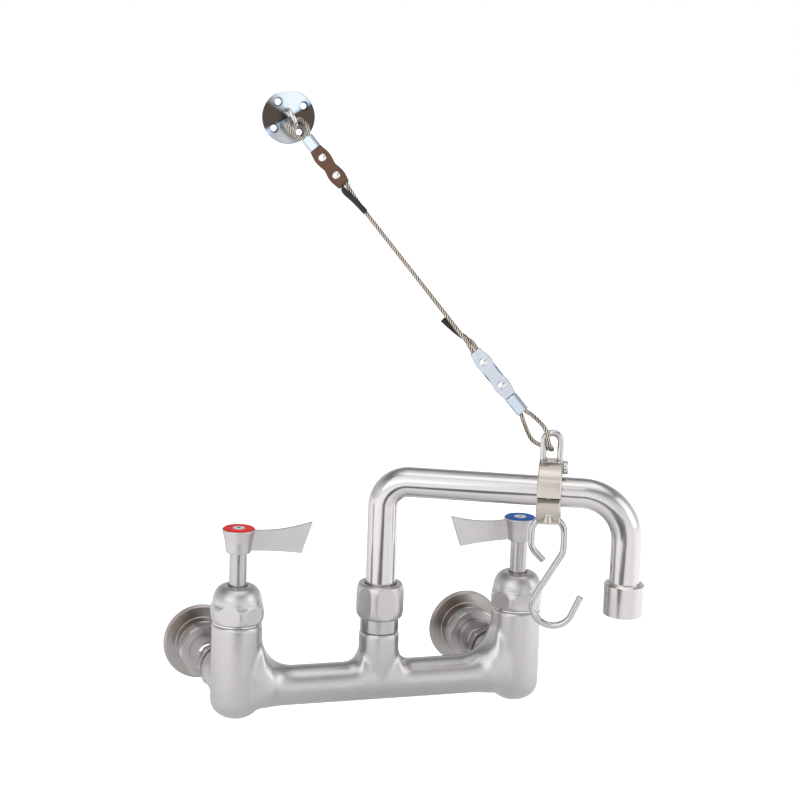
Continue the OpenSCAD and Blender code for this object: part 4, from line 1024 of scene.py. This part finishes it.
class FAUCET_OT_clips(bpy.types.Operator):
    """Finish the ferrules, clip plates, domed clip screws and black sleeves"""
    bl_idname = "faucet.clips"
    bl_label = "Clips and ferrules"

    def execute(self, context):
        steel = settings("steel")
        alloy = metal("ferrule_drawn", (0.50, 0.56, 0.64), 0.24, self.along_rope, mark_share=0.16,
                      mark_depth=0.03)
        finish_nodes(alloy, "upper_ferrule", "lower_ferrule")
        # The upper clip face's dark brown is partly its own copper tone and partly a painted dark reflection.
        copper_and_painted_reflection = metal("clip_warm_painted_reflection", (0.095, 0.052, 0.038), 0.20, mark_share=0.12, mark_depth=0.05, tint=0.12)
        grey = metal("clip_zinc", (0.47, 0.51, 0.57), 0.26, mark_share=0.12, mark_depth=0.05, tint=0.08)
        dark = metal("clip_dark", (0.45, 0.44, 0.44), 0.15, mark_share=0.10, mark_depth=0.05, tint=0.12)
        for word, front in (("upper", copper_and_painted_reflection), ("lower", grey)):
            for piece, side, finish in (("face", "front", front), ("rear", "back", dark)):
                plate = word + "_clip_" + side
                keep_piece(word + "_clip_" + piece, broken_edges(plate, 0.5, 3), finish, [plate])
        self.screws(metal("clip_screw_bright", steel.polished, 0.12, mark_share=0.06))
        black = plastic("sleeve_black", (0.010, 0.009, 0.008), 0.6, grain=0.9, depth=0.08)
        line = rope_line(0.25)
        self.sleeve("upper_tail_sleeve", line[:11], black)
        self.sleeve("lower_tail_sleeve", line[-7:], black)
        return {"FINISHED"}

    def along_rope(self, tree):
        """Drawing marks along the rope's line."""
        turn = Matrix((ROPE_SIDE, ROPE_OUT, ROPE_DIR)).to_euler("XYZ")
        place = in_place(tree, EYE_AT, [math.degrees(a) for a in turn])
        return node(tree, "ShaderNodeMapping", {"Vector": place, "Scale": (3.0, 3.0, 0.05)})

    def sleeve(self, name, line, black):
        """A shrunk sleeve, slightly uneven along its length."""
        skin_r, end_r, uneven = 2.03, 1.75, 0.05
        fine = []
        for a, b in zip(line, line[1:]):
            fine += [a.lerp(b, k / 4) for k in range(4)]
        fine.append(line[-1])
        radii = [MM * (skin_r + uneven * math.sin(1.7 * i) * math.sin(0.6 * i)) for i in range(len(fine))]
        radii[0] = radii[-1] = end_r * MM
        keep_piece(name + "_skin", swept_tube(name + "_skin", fine, radii, 24, 50), black, [name])

    def screws(self, bright):
        """Domed heads in front and hexagon nuts behind, one pair at each screw's place."""
        tree, given, out = geometry_tree("clip_fasteners", [
            ("Head Radius", "NodeSocketFloat", 2.9 * MM), ("Nut Height", "NodeSocketFloat", 2.2 * MM),
            ("Reach", "NodeSocketFloat", 3.65 * MM), ("Turn", "NodeSocketVector", (0, 0, 0)),
            ("Screw Material", "NodeSocketMaterial", None)])
        head = node(tree, "GeometryNodeMeshUVSphere", {"Segments": 24, "Rings": 12,
                    "Radius": given["Head Radius"]})
        flat = node(tree, "GeometryNodeTransform", {"Geometry": head, "Scale": (1, 1, 0.42),
                    "Translation": node(tree, "ShaderNodeCombineXYZ", {2: given["Reach"]})})
        nut = node(tree, "GeometryNodeMeshCylinder", {"Vertices": 6, "Radius": given["Head Radius"],
                   "Depth": given["Nut Height"]})
        behind = maths(tree, "MULTIPLY", maths(tree, "MULTIPLY_ADD", given["Nut Height"], 0.5,
                       given["Reach"]), -1.0)
        set_nut = node(tree, "GeometryNodeTransform", {"Geometry": nut.outputs["Mesh"],
                       "Translation": node(tree, "ShaderNodeCombineXYZ", {2: behind})})
        shank = node(tree, "GeometryNodeMeshCylinder", {"Vertices": 20, "Radius": 1.4 * MM,
                     "Depth": 11.2 * MM})
        set_shank = node(tree, "GeometryNodeTransform", {"Geometry": shank.outputs["Mesh"],
                         "Translation": (0, 0, -0.9 * MM)})
        both = node(tree, "GeometryNodeJoinGeometry", {0: flat})
        link(tree, set_nut, both, 0)
        link(tree, set_shank, both, 0)
        placed = node(tree, "GeometryNodeInstanceOnPoints", {"Points": given["Geometry"],
                      "Instance": both, "Rotation": given["Turn"]})
        real = node(tree, "GeometryNodeRealizeInstances", {0: placed})
        done = node(tree, "GeometryNodeSetMaterial", {"Geometry": real,
                    "Material": given["Screw Material"]})
        link(tree, done, out, 0)
        turn = Matrix((ROPE_SIDE, ROPE_OUT.cross(ROPE_SIDE), ROPE_OUT)).transposed()
        for word, (at, screws) in (("upper", UPPER_CLIP), ("lower", LOWER_CLIP)):
            places = [MM * on_rope(0, 0, at + s) for s in screws]
            mesh = grown(word + "_clip_domes", places, [], tree, {"Turn": turn.to_euler("XYZ"),
                         "Screw Material": bright})
            keep_piece(word + "_clip_domes", shade(mesh, 35), bright, [word + "_clip_screws"])


SETTINGS = (("stage", FaucetStage), ("steel", FaucetSteel), ("levers", FaucetLevers), ("rope", FaucetRope))
OPERATORS = (
    FAUCET_OT_stage, FAUCET_OT_rope, FAUCET_OT_cast_body, FAUCET_OT_wall_fittings, FAUCET_OT_valves,
    FAUCET_OT_levers, FAUCET_OT_swivel, FAUCET_OT_spout, FAUCET_OT_collar, FAUCET_OT_shackle_and_hook,
    FAUCET_OT_wall_mount, FAUCET_OT_clips)


class FAUCET_PT_panel(bpy.types.Panel):
    """Lists the faucet's settings and its steps"""
    bl_idname = "FAUCET_PT_panel"
    bl_label = "Wall faucet"
    bl_space_type = "VIEW_3D"
    bl_region_type = "UI"
    bl_category = "Faucet"

    def draw(self, context):
        for word, group in SETTINGS:
            box = self.layout.box()
            box.label(text=word.capitalize())
            for name in group.__annotations__:
                box.prop(getattr(context.scene, "faucet_" + word), name)
        for operator in OPERATORS:
            self.layout.operator(operator.bl_idname)


def register():
    for word, group in SETTINGS:
        bpy.utils.register_class(group)
        setattr(bpy.types.Scene, "faucet_" + word, bpy.props.PointerProperty(type=group))
    for cls in (*OPERATORS, FAUCET_PT_panel):
        bpy.utils.register_class(cls)


def unregister():
    for cls in (FAUCET_PT_panel, *reversed(OPERATORS)):
        bpy.utils.unregister_class(cls)
    for word, group in reversed(SETTINGS):
        delattr(bpy.types.Scene, "faucet_" + word)
        bpy.utils.unregister_class(group)


def main():
    register()
    bpy.context.scene.view_settings.view_transform = "Standard"
    for operator in OPERATORS:
        group, name = operator.bl_idname.split(".")
        getattr(getattr(bpy.ops, group), name)()


if __name__ == "__main__":
    main()
